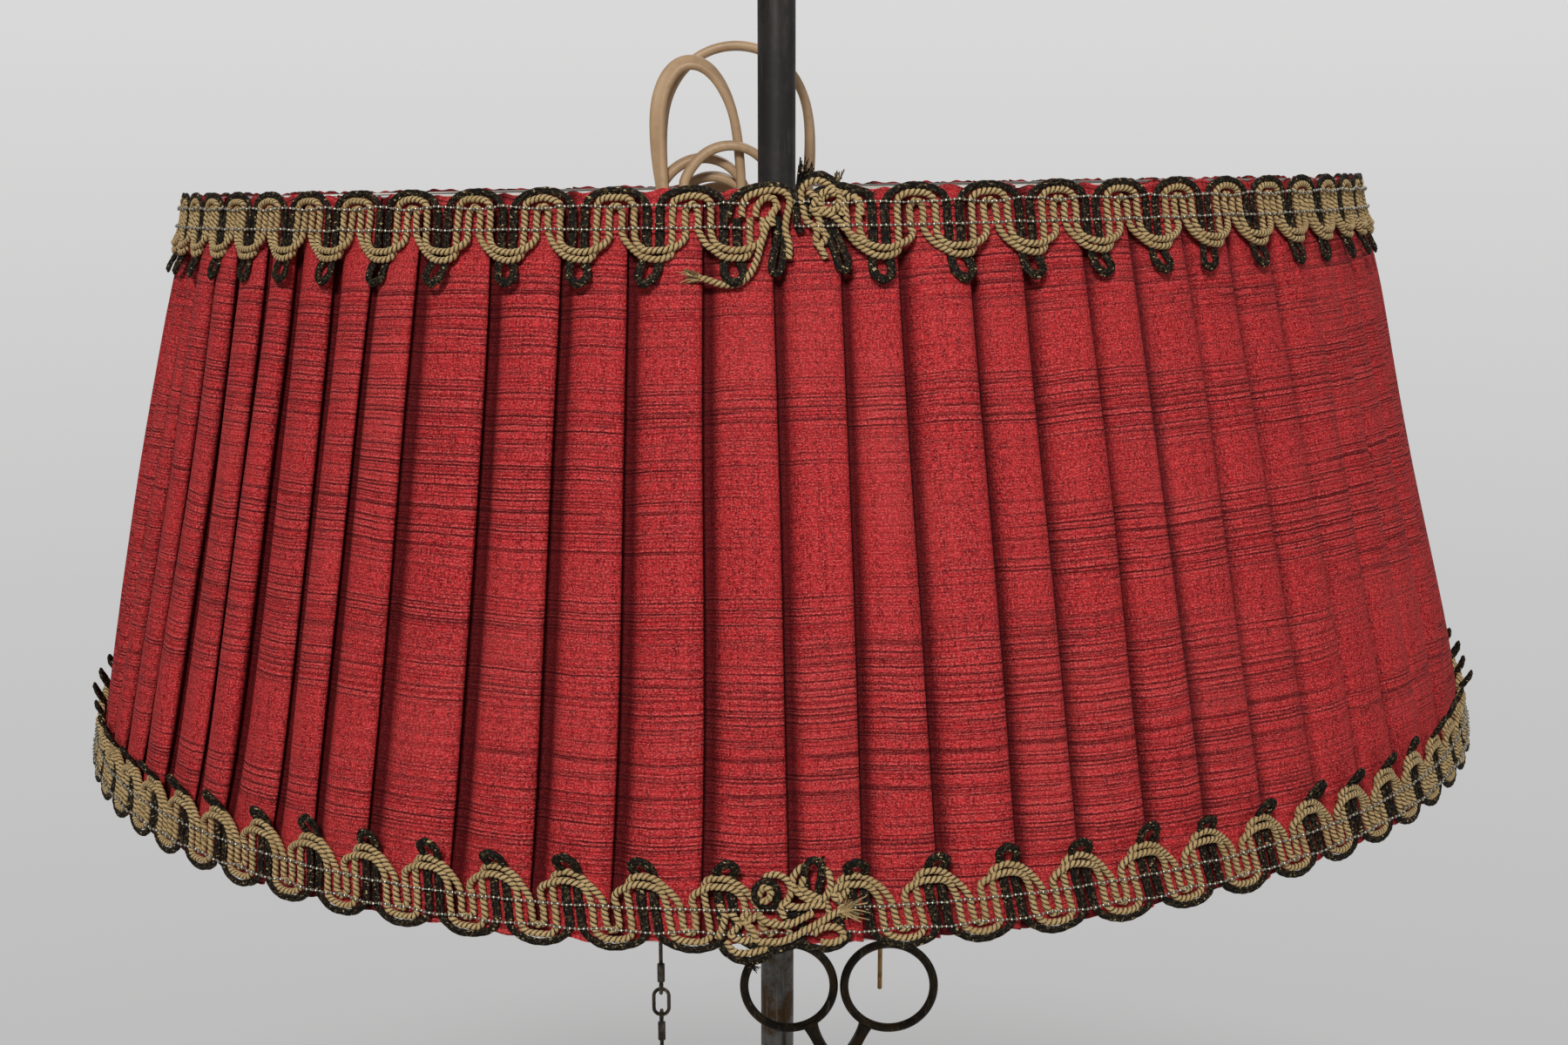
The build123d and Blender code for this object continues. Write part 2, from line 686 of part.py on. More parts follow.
# ---------------------------------------------------------------- shade
def make_shade():
    """The wire frame and its spider, the lining, the pleated cover and the two braids."""
    rings = {}
    for name, r, z in (("top_ring", frame_r, top_ring_z), ("bottom_ring", bottom_frame_r, bottom_ring_z)):
        with BuildPart() as ring:
            with Locations((0, 0, z)):
                Torus(r, ring_wire_r)
        rings[name] = ring
        keep_tilted(ring, f"shade_{name}")

    run, drop = bottom_frame_r - frame_r, top_ring_z - bottom_ring_z
    rib_length = sqrt(run**2 + drop**2)
    for n in range(rib_count):
        heading = radians(n * 360 / rib_count)
        start = (frame_r * cos(heading), frame_r * sin(heading), top_ring_z)
        along = (run * cos(heading), run * sin(heading), -drop)
        with BuildPart() as rib:
            with BuildSketch(Plane(start, z_dir=along)):
                Circle(rib_wire_r)
            extrude(amount=rib_length)
            add(rings["top_ring"].part, mode=Mode.SUBTRACT)
            add(rings["bottom_ring"].part, mode=Mode.SUBTRACT)
        keep_tilted(rib, f"shade_rib_{n + 1}")

    hub = turned([(nipple_r + lay_on, hub_z), (hub_r, hub_z), (hub_r, hub_z + hub_thickness),
                  (nipple_r + lay_on, hub_z + hub_thickness)])
    keep(hub, "spider_hub")
    nut_z = hub_z + hub_thickness + lay_on
    with BuildPart() as nut:
        with BuildSketch(Plane.XY.offset(nut_z)):
            RegularPolygon(radius=13, side_count=8)
            Circle(nipple_r + lay_on, mode=Mode.SUBTRACT)
        extrude(amount=nut_thickness)
    keep(nut, "spider_nut")

    arm_z = hub_z + hub_thickness / 2
    for n in range(arm_count):
        heading = radians(270 + n * 360 / arm_count)
        start = ((hub_r - 2) * cos(heading), (hub_r - 2) * sin(heading), arm_z)
        reach, rise = frame_r - hub_r + 2, top_ring_z - arm_z
        along = (reach * cos(heading), reach * sin(heading), rise)
        with BuildPart() as arm:
            with BuildSketch(Plane(start, z_dir=along)):
                Circle(arm_wire_r)
            extrude(amount=sqrt(reach**2 + rise**2))
            add(rings["top_ring"].part, mode=Mode.SUBTRACT)
            add(hub.part, mode=Mode.SUBTRACT)
            with Locations((0, 0, arm_z)):
                Cylinder(hub_r - 1, 20, mode=Mode.SUBTRACT)
        keep_tilted(arm, f"spider_arm_{n + 1}")

    lining_inset_r = wire_inset + ring_wire_r + 2 * lay_on
    lining = cone_band(rim_z - shade_height + lining_inset, rim_z - lining_inset,
                       lining_inset_r, lining_inset_r + lining_wall)
    keep_tilted(lining, "lining")
    keep_tilted(cone_band(rim_z - shade_height, rim_z, 0, pleat_depth), "pleated_cover")
    upper_z = rim_z + 1 - braid_width
    for name, z in (("top_braid", upper_z), ("bottom_braid", rim_z - shade_height - braid_proud)):
        keep_tilted(cone_band(z, z + braid_width, -braid_thickness - lay_on, -lay_on), name)


make_foot()
make_stem()
make_rods()
make_handle()
make_font()
make_tool_plates()
make_scissors()
make_hanging_tools()
make_set_collar()
make_cluster()
make_lead()
for side, name in ((-1, "left"), (1, "right")):
    make_light(side, name)
make_shade()
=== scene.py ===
# %% [markdown]
# # A table lamp with a pleated silk shade
# The lamp is tall: a foot, a turned stem, a rod with an oil font, and a wide cloth shade on top.
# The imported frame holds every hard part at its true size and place.  This lesson dresses it:
# the cloth, the braid and the lead are built as meshes and curves, and each finish is made of
# shader nodes, so that no picture file is needed.

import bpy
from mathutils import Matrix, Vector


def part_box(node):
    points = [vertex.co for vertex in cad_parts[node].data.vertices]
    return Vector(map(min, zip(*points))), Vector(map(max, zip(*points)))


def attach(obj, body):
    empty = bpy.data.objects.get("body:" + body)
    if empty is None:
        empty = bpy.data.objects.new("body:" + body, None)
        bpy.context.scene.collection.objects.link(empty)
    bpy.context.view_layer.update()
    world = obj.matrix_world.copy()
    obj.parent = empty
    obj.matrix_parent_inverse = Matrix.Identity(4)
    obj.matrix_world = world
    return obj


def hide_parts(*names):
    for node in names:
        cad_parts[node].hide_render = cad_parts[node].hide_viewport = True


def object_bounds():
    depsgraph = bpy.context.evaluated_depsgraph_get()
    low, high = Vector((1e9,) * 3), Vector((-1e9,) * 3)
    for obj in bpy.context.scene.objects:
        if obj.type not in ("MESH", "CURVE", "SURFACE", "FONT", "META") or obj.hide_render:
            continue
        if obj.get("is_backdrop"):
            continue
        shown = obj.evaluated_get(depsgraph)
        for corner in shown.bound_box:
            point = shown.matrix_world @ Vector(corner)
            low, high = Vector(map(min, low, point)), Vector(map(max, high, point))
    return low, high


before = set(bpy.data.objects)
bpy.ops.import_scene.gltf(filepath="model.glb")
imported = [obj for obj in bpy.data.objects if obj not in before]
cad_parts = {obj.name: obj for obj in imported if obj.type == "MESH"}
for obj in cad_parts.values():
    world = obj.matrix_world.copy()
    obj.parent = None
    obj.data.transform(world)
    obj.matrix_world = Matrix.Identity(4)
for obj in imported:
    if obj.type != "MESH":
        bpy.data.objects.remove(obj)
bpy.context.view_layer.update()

# %% Helpers from Blender and Python
from math import atan, copysign, cos, pi, radians, sin
from random import Random

import bpy
import numpy as np
from mathutils import Matrix, Vector

mm = 0.001

# %% [markdown]
# ## Sizes
# Heights and radii come from the frame's own boxes, so the cloth follows the frame if it is
# changed.  The shade is a cone: one radius at the rim, one at the lower edge, a straight line
# between them.  It hangs a little crooked on its spider, the right side higher.  Everything sewn
# on it is placed by an angle, a height and a distance outwards, and tipped with it at the end.

# %% The shade's cone
shade_tilt = radians(0.95)
level, lean = cos(shade_tilt), sin(shade_tilt)
hub_low, hub_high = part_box("spider_hub")
pivot_z = (hub_low.z + hub_high.z) / 2
cover_low, cover_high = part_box("pleated_cover")
ring_low, ring_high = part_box("shade_top_ring")
pleat_depth = 3.2 * mm
edge_r = (cover_high.x - cover_low.x) / 2 / level
rim_r = (ring_high.x - ring_low.x) / 2 / level + pleat_depth + 0.1 * mm
rim_z = pivot_z + (cover_high.z - pivot_z - rim_r * lean) / level
edge_z = pivot_z + (cover_low.z - pivot_z + edge_r * lean) / level
cone_slope = (edge_r - rim_r) / (rim_z - edge_z)
cone_angle = atan(cone_slope)
print(f"rim {rim_r:.4f} m at {rim_z:.4f}, edge {edge_r:.4f} m at {edge_z:.4f}")
print(f"the cone leans {cone_angle:.3f} rad")


def cone_radius(z):
    """The radius of the pleats' outer side at height z."""
    return rim_r + cone_slope * (rim_z - z)


def on_cone(angle, z, out):
    """Points at an angle round the lamp, a height, and a distance out from the pleats."""
    r = cone_radius(z) + out * cos(cone_angle)
    x, y, h = r * np.cos(angle), r * np.sin(angle), z + out * sin(cone_angle) - pivot_z
    return np.stack([x * level - h * lean, y, pivot_z + h * level + x * lean], axis=-1)


# %% [markdown]
# ## Shader arithmetic
# A Blender material is a graph of nodes.  Written out call by call, even a small formula takes a
# page, so one class wraps a node's socket and lets Python's operators add the Math nodes.  A
# finish is then a few expressions, which is how a shader artist thinks of it.

# %% A socket that can be added, scaled and compared
class Value:
    """One number that varies over a surface."""

    def __init__(self, finish, socket):
        self.finish = finish
        self.socket = socket

    def _math(self, operation, first, second):
        return self.finish.node("Math", {"operation": operation}, {0: first, 1: second})

    def __add__(self, other):
        return self._math("ADD", self, other)

    def __radd__(self, other):
        return self._math("ADD", other, self)

    def __sub__(self, other):
        return self._math("SUBTRACT", self, other)

    def __rsub__(self, other):
        return self._math("SUBTRACT", other, self)

    def __mul__(self, other):
        return self._math("MULTIPLY", self, other)

    def __rmul__(self, other):
        return self._math("MULTIPLY", other, self)

    def above(self, edge, width):
        """0 below the edge and 1 above it, with a soft step as wide as width."""
        ranges = {0: self, 1: edge - width / 2, 2: edge + width / 2}
        return self.finish.node("MapRange", {"interpolation_type": "SMOOTHSTEP"}, ranges)


class Finish:
    """A material: a Principled shader, and the nodes that feed it."""

    def __init__(self, name, **numbers):
        self.material = bpy.data.materials.new(name)
        self.material.use_nodes = True
        self.nodes = self.material.node_tree.nodes
        self.links = self.material.node_tree.links
        self.shader = self.nodes["Principled BSDF"]
        self.spot = 0
        for socket, number in numbers.items():
            self.shader.inputs[socket.replace("_", " ")].default_value = number

    def node(self, kind, settings=(), sockets=(), output=0):
        """Adds a node, sets it up, feeds its sockets, and gives one of its outputs."""
        new = self.nodes.new("ShaderNode" + kind)
        self.spot += 1
        new.location = (-220 * (self.spot % 12), -180 * (self.spot // 12))
        for key, setting in dict(settings).items():
            setattr(new, key, setting)
        for key, fed in dict(sockets).items():
            self.feed(new.inputs[key], fed)
        return Value(self, new.outputs[output])

    def feed(self, socket, fed):
        if isinstance(fed, Value):
            self.links.new(fed.socket, socket)
        elif socket.type == "RGBA" and len(fed) == 3:
            socket.default_value = (*fed, 1)
        else:
            socket.default_value = fed

    def blend(self, amount, first, second):
        """The first colour where amount is 0, and the second where it is 1."""
        return self.node("Mix", {"data_type": "RGBA"}, {0: amount, 6: first, 7: second}, output=2)

    def noise(self, where, scale, detail=2.0, rough=0.5):
        sockets = {"Vector": where, "Scale": scale, "Detail": detail, "Roughness": rough}
        return self.node("TexNoise", (), sockets)

    def stretched(self, where, factors):
        """Coordinates drawn out along some axes."""
        return self.node("VectorMath", {"operation": "MULTIPLY"}, {0: where, 1: factors})

    def place(self):
        """Where a point is on the object, in metres."""
        return self.node("TexCoord", output="Object")

    def part(self, vector, axis):
        return self.node("SeparateXYZ", (), {0: vector}, output=axis)

    def bump(self, height, strength, distance):
        """Raises the surface by height times distance, in metres."""
        sockets = {"Height": height, "Strength": strength, "Distance": distance}
        self.set("Normal", self.node("Bump", (), sockets))

    def set(self, socket, fed):
        self.feed(self.shader.inputs[socket], fed)


# %% Colours as a painter mixes them
def tint(red, green, blue):
    """A colour given as 0 to 255 on a screen, turned into the light it stands for."""
    shares = [c / 255 for c in (red, green, blue)]
    return tuple(s / 12.92 if s <= 0.04045 else ((s + 0.055) / 1.055) ** 2.4 for s in shares)


# %% [markdown]
# ## Mesh helpers
# Most pieces here are one of two things: a grid of points, such as a cloth, or a section carried
# along a line, such as a cord.  Both are arrays of points first and become a mesh at the end,
# which is quick even with a few hundred thousand points.

# %% A mesh from arrays of points
def make_piece(name, points, faces, finish, body):
    """A new object from points (n, 3) and four-cornered faces (m, 4), riding on a body."""
    mesh = bpy.data.meshes.new(name)
    points = np.asarray(points, dtype=np.float32).reshape(-1, 3)
    faces = np.asarray(faces, dtype=np.int32).reshape(-1, 4)
    mesh.vertices.add(len(points))
    mesh.vertices.foreach_set("co", points.ravel())
    mesh.loops.add(faces.size)
    mesh.loops.foreach_set("vertex_index", faces.ravel())
    mesh.polygons.add(len(faces))
    mesh.polygons.foreach_set("loop_start", np.arange(0, faces.size, 4, dtype=np.int32))
    mesh.polygons.foreach_set("use_smooth", np.full(len(faces), True))
    mesh.update(calc_edges=True)
    mesh.validate()
    mesh.materials.append(finish.material)
    piece = bpy.data.objects.new(name, mesh)
    bpy.context.scene.collection.objects.link(piece)
    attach(piece, body)
    return piece


def grid_faces(rows, columns, start=0):
    """The faces between the points of a grid whose last column meets its first."""
    index = start + np.arange(rows * columns).reshape(rows, columns)
    index = np.hstack([index, index[:, :1]])
    corners = [index[:-1, :-1], index[:-1, 1:], index[1:, 1:], index[1:, :-1]]
    return np.stack([c.ravel() for c in corners], axis=1)


# %% A smooth line through a few points
def smooth_line(corners, step):
    """A Catmull-Rom curve through the corners, walked at an even step."""
    corners = np.asarray(corners, dtype=float)
    before = np.vstack([2 * corners[0] - corners[1], corners, 2 * corners[-1] - corners[-2]])
    t = np.linspace(0, 1, 12, endpoint=False)[:, None]
    runs = []
    for a, b, c, d in zip(before[:-3], before[1:-2], before[2:-1], before[3:]):
        runs.append(0.5 * (2 * b + (c - a) * t + (2 * a - 5 * b + 4 * c - d) * t**2
                           + (3 * b - a - 3 * c + d) * t**3))
    line = np.vstack(runs + [corners[-1:]])
    return even_line(line, step)


def even_line(line, step):
    """The same line with its points an even step apart."""
    lengths = np.r_[0, np.cumsum(np.linalg.norm(np.diff(line, axis=0), axis=1))]
    count = max(3, int(round(lengths[-1] / step)) + 1)
    at = np.linspace(0, lengths[-1], count)
    return np.stack([np.interp(at, lengths, line[:, i]) for i in range(line.shape[1])], axis=1)


def along(line):
    """The direction of travel at each point of a line."""
    way = np.gradient(line, axis=0)
    return way / np.linalg.norm(way, axis=1, keepdims=True)


def carry_section(line, outwards, across, up):
    """A tube's points: at each point of the line, a section given across and up (n, m)."""
    way = along(line)
    side = np.cross(way, outwards)
    side /= np.linalg.norm(side, axis=1, keepdims=True)
    rise = np.cross(side, way)
    return line[:, None] + side[:, None] * across[..., None] + rise[:, None] * up[..., None]


class Bundle:
    """Many tubes that become one piece."""

    def __init__(self):
        self.points, self.faces, self.marks, self.count = [], [], [], 0

    def add(self, tube, mark=None):
        rows, around = tube.shape[:2]
        self.faces.append(grid_faces(rows, around, start=self.count))
        self.points.append(tube.reshape(-1, 3))
        self.marks.append(np.zeros(rows * around) if mark is None else mark.ravel())
        self.count += rows * around

    def piece(self, name, finish, body):
        made = make_piece(name, np.vstack(self.points), np.vstack(self.faces), finish, body)
        mark = made.data.attributes.new("mark", "FLOAT", "POINT")
        mark.data.foreach_set("value", np.concatenate(self.marks).astype(np.float32))
        print(name, "has", self.count, "points")
        return made

# %% [markdown]
# ## The camera
# The lens is a little longer than a standard one, close to the shade and just above its rim,
# tipped down by ten degrees.

# %% Camera
camera_data = bpy.data.cameras.new("camera")
camera_data.sensor_width = 36.0
camera_data.lens = 41.8
camera_data.shift_y = -0.0049
camera_data.clip_start = 0.02
camera = bpy.data.objects.new("camera", camera_data)
bpy.context.scene.collection.objects.link(camera)
tip_down = 0.183
stands_at = Matrix.Translation((0.0026, -0.658, rim_z + 0.0028))
camera.matrix_world = stands_at @ Matrix.Rotation(pi / 2 - tip_down, 4, "X")
bpy.context.scene.camera = camera

# %% [markdown]
# ## The lead
# The lead is a flat two-core flex, moulded in one piece, 1.8 m long as on most table lamps.
# It was never unrolled: its turns stand on the light cluster, behind the rod, and two of them
# reach well above the rim.  A flat flex keeps its wide side to the turn's own axis only while
# nothing twists it, so its section is swept by hand here, with the two cores and the groove
# between them.  The line it follows is one smooth NURBS curve.

# %% The lead's route
lead_length, flex_width, flex_depth = 1.80, 6.0 * mm, 3.6 * mm
lead_exit = (-4 * mm, 19.5 * mm, rim_z - 71 * mm)
# Each turn in mm: its middle x, half its width, the height where it is widest, its lowest and
# highest z from the rim, its y, and how much it leans to the right below the top.
turns = [
    (-17, 19, -8, -56, 15, 17.5, 0.0),
    (-31.3, 15.3, 17, -40, 44.8, 21.5, 0.07),
    (-27, 17, -8, -54, 10.5, 25.5, 0.0),
    (-24, 15, -12, -54, 3.8, 29, 0.0),
    (-15, 29.3, 21, -38, 51.5, 33.5, 0.0),
    (-20, 22, -20, -56, 0, 37.5, 0.0),
    (-18, 25, -24, -57, -2, 41, 0.0),
    (-20, 24, -24, -56, -3, 44.5, 0.0),
    (-20, 23, -22, -55, -4, 47.5, 0.0),
    (-22, 21, -24, -46, -5, 50, 0.0),
]
points_a_turn = 14


def round_turn(turn, share):
    """Where a share of one turn is: it starts at the bottom, rounded, and climbs on the left."""
    x, half, widest, low, high, y, slant = turn
    angle = -pi / 2 - 2 * pi * share
    aside, above = cos(angle), sin(angle)
    if above < 0:
        aside, above = copysign(abs(aside) ** 0.8, aside), -abs(above) ** 0.8
    z = widest + above * ((high - widest) if above > 0 else (widest - low))
    return np.array([x + half * aside + slant * (high - z), y, z])


route = [(-4, 19.5, -71), (-4.5, 19.3, -64), (-8, 18.5, -54), (-17, 17.6, -44)]
for step in range(4, len(turns) * points_a_turn):
    here, share = divmod(step / points_a_turn, 1)
    here = int(here)
    spot = round_turn(turns[here], share)
    beside = turns[max(0, here - 1)] if share < 0.5 else turns[min(len(turns) - 1, here + 1)]
    mixed = 0.5 * max(0.0, 1 - 2.5 * min(share, 1 - share)) ** 1.5
    spot += mixed * (round_turn(beside, share) - spot)
    spot[1] = np.interp(step / points_a_turn, np.arange(len(turns)) + 0.5, [t[5] for t in turns])
    route.append(tuple(spot))
route += [(-30, 50, -45.5), (-39, 48, -42), (-47, 46, -38)]
print(len(route), "points on the lead's route")

# %% The lead's line
line_data = bpy.data.curves.new("lead_line", "CURVE")
line_data.dimensions = "3D"
spline = line_data.splines.new("NURBS")
spline.points.add(len(route) - 1)
for point, (x, y, z) in zip(spline.points, route):
    point.co = (x * mm, y * mm, rim_z + z * mm, 1)
spline.order_u = 3
spline.use_endpoint_u = True
spline.resolution_u = 6
line_object = bpy.data.objects.new("lead_line", line_data)
bpy.context.scene.collection.objects.link(line_object)
bpy.context.view_layer.update()
drawn = bpy.data.meshes.new_from_object(line_object)
lead_line = np.array([v.co for v in drawn.vertices])
bpy.data.objects.remove(line_object)
lead_line = even_line(lead_line, 1.5 * mm)
print(f"the lead is {np.linalg.norm(np.diff(lead_line, axis=0), axis=1).sum():.3f} m long")

# %% The flex itself
# Its wide side follows the turns' axis, except where it twists, most of all on the tall turn.
around = np.linspace(0, 2 * pi, 28, endpoint=False)
groove = 1 - 0.24 * np.exp(-((np.cos(around) / 0.16) ** 2))
flex_wide = (flex_width - flex_depth) / 2 * np.tanh(3 * np.cos(around)) + flex_depth / 2 * np.cos(around)
flex_thin = flex_depth / 2 * groove * np.sign(np.sin(around)) * np.abs(np.sin(around)) ** 0.9
walked = np.arange(len(lead_line)) * 1.5 * mm
twist = 0.22 * np.sin(walked * 31) + 0.14 * np.sin(walked * 73 + 1)
twist += 1.05 * np.exp(-(((walked - 0.268) / 0.035) ** 2))
across = flex_wide * np.sin(twist)[:, None] + flex_thin * np.cos(twist)[:, None]
up = flex_wide * np.cos(twist)[:, None] - flex_thin * np.sin(twist)[:, None]
lead_tube = carry_section(lead_line, np.array([0.0, -1.0, 0.0]), across, up)[:, ::-1]

flex = Finish("flex", Roughness=0.38, IOR=1.46, Subsurface_Weight=0.0)
place = flex.place()
cloudy = flex.noise(place, 60, 3)
smear = flex.noise(place, 420, 2)
plain = flex.blend(cloudy.above(0.5, 0.5), tint(166, 134, 100), tint(188, 156, 120))
flex.set("Base Color", flex.blend(smear.above(0.62, 0.2) * 0.35, plain, tint(148, 118, 84)))
flex.set("Roughness", 0.34 + 0.2 * smear)
flex.bump(smear, 0.3, 0.1 * mm)
lead = Bundle()
lead.add(lead_tube)
lead = lead.piece("lead", flex, "shade_and_lights")
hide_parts("cord_lead", "cord_coil")

# %% [markdown]
# ## The pleated cover
# The cover is one long strip of silk, knife-pleated and sewn to the rims.  A knife pleat climbs
# from under its neighbour, folds over, runs back under itself and starts again, always the same
# way round.  One pleat is drawn as a few points of that zigzag, and every pleat repeats it with
# its own width, height and lean.  The pleats are pressed flatter where they are sewn.

# %% One pleat's zigzag
# Each point: how far along the pleat, as a share of its width, and how high, as a share of the
# pleats' depth.  The first and last points lie hidden under the fold.
zigzag = np.array([
    (-0.22, 0.12), (-0.14, 0.03), (-0.05, 0.00), (0.02, 0.07), (0.07, 0.24), (0.14, 0.46),
    (0.26, 0.72), (0.42, 0.89), (0.57, 0.98), (0.70, 1.00), (0.80, 0.95), (0.87, 0.84),
    (0.915, 0.68), (0.925, 0.50), (0.895, 0.36), (0.85, 0.26), (0.80, 0.20), (0.77, 0.15),
])
pleat_count = 73
pleat_points = 40
rows = 120
rib_count = 6
dice = Random(5)

# %% The folds' places
# Widths of the front pleats in degrees, from the left; the others are drawn by lot.
front = [5.0, 4.8, 4.2, 5.0, 4.2, 4.5, 6.3, 5.7, 5.0, 5.6, 5.1, 4.5, 4.5, 5.2, 4.1, 5.0, 4.4]
others = np.array([dice.uniform(0.86, 1.14) for _ in range(pleat_count - len(front))])
widths = np.radians(np.r_[front, others * (360 - sum(front)) / others.sum()])
folds = np.r_[0, np.cumsum(widths)] + radians(-90 - 54.6)
puffs = np.array([dice.uniform(0.78, 1.0) for _ in range(pleat_count)])
sways = np.array([[dice.uniform(-1, 1) for _ in range(4)] for _ in range(pleat_count + 1)])
sways[-1] = sways[0]
slips = np.array([dice.uniform(-0.9, 0.9) for _ in range(pleat_count)])

# %% The cover's grid of points
# Between the rims the pleats deepen, and towards the lower edge the cloth stands a little proud.
shape = smooth_line(np.c_[zigzag[:, 0], zigzag[:, 1] * 0.22, np.zeros(len(zigzag))], 0.001)
shape = shape[np.linspace(0, len(shape) - 1, pleat_points).astype(int)]
share_along, share_high = shape[:, 0], shape[:, 1] / 0.22
height = np.linspace(edge_z - 0.3 * mm, rim_z + 0.3 * mm, rows)
up_slope = (height - edge_z) / (rim_z - edge_z)
from_rim, from_edge = (rim_z - height) / mm, (height - edge_z) / mm
pressed = 0.30 * np.exp(-((from_rim / 12) ** 2)) + 0.25 * np.exp(-((from_edge / 10) ** 2))
deeper = 3.7 * mm * (1 - np.exp(-((from_rim / 26) ** 2))) * (1 - np.exp(-((from_edge / 22) ** 2)))
proud = 2.4 * mm * np.clip(1 - up_slope, 0, 1) ** 0.7
angles, outs, cloth_u, cloth_v, painted_fold_shade = [], [], [], [], []
travelled = 0.0
for pleat in range(pleat_count):
    left, right = folds[pleat], folds[pleat + 1]
    wander = []
    for edge in (pleat, pleat + 1):
        a, b, c, d = sways[edge]
        slow, quick = np.sin(2.6 * up_slope + 2 * b), np.sin(8 * up_slope + 3 * d)
        wander.append((1.1 * a * slow + 0.4 * c * quick) * mm)
    share = share_along[None, :]
    bend = wander[0][:, None] * (1 - share) + wander[1][:, None] * share
    angle = left + (right - left) * share + bend / cone_radius(height)[:, None]
    puff = puffs[pleat] + 0.10 * np.sin(5 * up_slope + 6 * slips[pleat])[:, None]
    ripple = 0.05 * np.sin(9 * up_slope + 11 * slips[pleat])[:, None] * np.sin(pi * np.clip(share, 0, 1))
    high_share = share_high[None, :] * np.clip(puff, 0.6, 1.0) + ripple
    near_rib = np.exp(-((np.sin(angle * rib_count / 2) / 0.16) ** 2))
    depth = pleat_depth + deeper[:, None] * (1 - near_rib)
    out = (high_share - 1) * (1 - pressed[:, None]) - 0.5 * pressed[:, None]
    angles.append(angle)
    outs.append(out * depth + 0.3 * deeper[:, None] + proud[:, None])
    # painted shade: a point low in its pleat gets a high mark and is painted darker
    painted_fold_shade.append(1 - share_high[None, :] * (1 - 0.6 * pressed[:, None]))
    step = np.r_[0, np.cumsum(np.hypot(np.diff(share_along) * 19.0, np.diff(share_high) * 4.4))] * mm
    cloth_u.append(travelled + step)
    travelled += step[-1] + 0.5 * mm
    cloth_v.append(np.full(pleat_points, slips[pleat] * mm))
angles, outs, painted_fold_shade = np.hstack(angles), np.hstack(outs), np.hstack(painted_fold_shade)
cloth_u, cloth_v = np.concatenate(cloth_u), np.concatenate(cloth_v)
columns = len(cloth_u)
frill = 0.35 * mm * np.sin(cloth_u * 700) + 0.3 * mm * np.sin(cloth_u * 173)
at_ends = np.exp(-((np.minimum(up_slope, 1 - up_slope) / 0.02) ** 2))
cloth = on_cone(angles, height[:, None] + frill[None, :] * at_ends[:, None], outs)
print("the strip is", round(travelled, 3), "m long,", rows * columns, "points")

# %% [markdown]
# ## The silk
# Slubbed silk has thick and thin threads.  The weft runs round the shade, so the slubs are fine
# dark lines, nearly level, in loose groups, which start and stop and wander a little.  The
# cloth's own coordinates are kept in a UV map: metres along the strip, and metres up the pleat.
# Lines made from them jump from pleat to pleat, as cut cloth does.  A mark kept with each point
# paints shade into the pleats' folds: the deeper a point lies in its fold, the darker its red.

# %% Slubbed silk
silk = Finish("slubbed silk", Roughness=0.75, Sheen_Weight=0.05, Sheen_Roughness=0.45,
              Specular_IOR_Level=0.10)
silk.shader.inputs["Sheen Tint"].default_value = (*tint(225, 120, 120), 1)
cloth_at = silk.node("UVMap", {"uv_map": "cloth"})
along_u, up_v = silk.part(cloth_at, 0), silk.part(cloth_at, 1)
drift = silk.noise(silk.stretched(cloth_at, (22, 9, 1)), 1.0, 2)
level_v = up_v * 1000 + 3.4 * drift + 0.5 * silk.noise(silk.stretched(cloth_at, (260, 90, 1)), 1.0, 2)


def slub_lines(spacing, width, seed):
    """Lines at uneven heights, about spacing mm apart and width mm thick."""
    cell = silk.node("TexVoronoi", {"voronoi_dimensions": "1D", "feature": "F1"},
                     {"W": level_v + seed, "Scale": 1 / spacing, "Randomness": 1.0})
    chosen = silk.part(silk.node("TexVoronoi", {"voronoi_dimensions": "1D"},
                                 {"W": level_v + seed, "Scale": 1 / spacing}, output=1), 0)
    thin = 1 - cell.above(width / spacing / 2, width / spacing * 0.7)
    runs = silk.noise(silk.node("CombineXYZ", (), {0: along_u * 34, 1: chosen * 37, 2: seed}), 1.0, 2)
    beads = silk.noise(silk.node("CombineXYZ", (), {0: along_u * 900, 1: chosen * 53, 2: seed}), 1.0, 1)
    return thin * runs.above(0.43, 0.12) * (0.72 + 0.28 * beads.above(0.46, 0.16))


groups = silk.noise(silk.node("CombineXYZ", (), {0: along_u * 4, 1: up_v * 58, 2: 3.0}), 1.0, 2)
crowded = groups.above(0.47, 0.14)
thick_slubs = slub_lines(1.9, 0.48, 3.7) * (0.25 + 0.75 * crowded)
fine_slubs = slub_lines(0.95, 0.32, 11.3) * (0.25 + 0.70 * crowded)
beside_slubs = slub_lines(1.9, 1.3, 3.7) * crowded
warp = silk.noise(silk.stretched(cloth_at, (2700, 420, 1)), 1.0, 2, 0.6)
weft = silk.noise(silk.stretched(cloth_at, (520, 2900, 1)), 1.0, 2, 0.6)
flecks = silk.noise(silk.stretched(cloth_at, (1900, 2500, 1)), 1.0, 1)
streaks = silk.noise(silk.stretched(cloth_at, (520, 12, 1)), 1.0, 3)
faded = silk.noise(silk.stretched(cloth_at, (16, 22, 1)), 1.0, 3)
thread = (warp + weft) * 0.5
body_red = silk.blend(thread.above(0.5, 0.20), tint(104, 6, 12), tint(196, 46, 50))
body_red = silk.blend(streaks.above(0.52, 0.3) * 0.35, body_red, tint(200, 50, 52))
body_red = silk.blend(flecks.above(0.58, 0.12) * 0.42, body_red, tint(238, 122, 118))
body_red = silk.blend(faded.above(0.62, 0.3) * 0.15, body_red, tint(204, 84, 80))
body_red = silk.blend(beside_slubs * flecks.above(0.50, 0.12) * 0.5, body_red, tint(234, 112, 108))
body_red = silk.blend(fine_slubs * 0.75, body_red, tint(92, 6, 12))
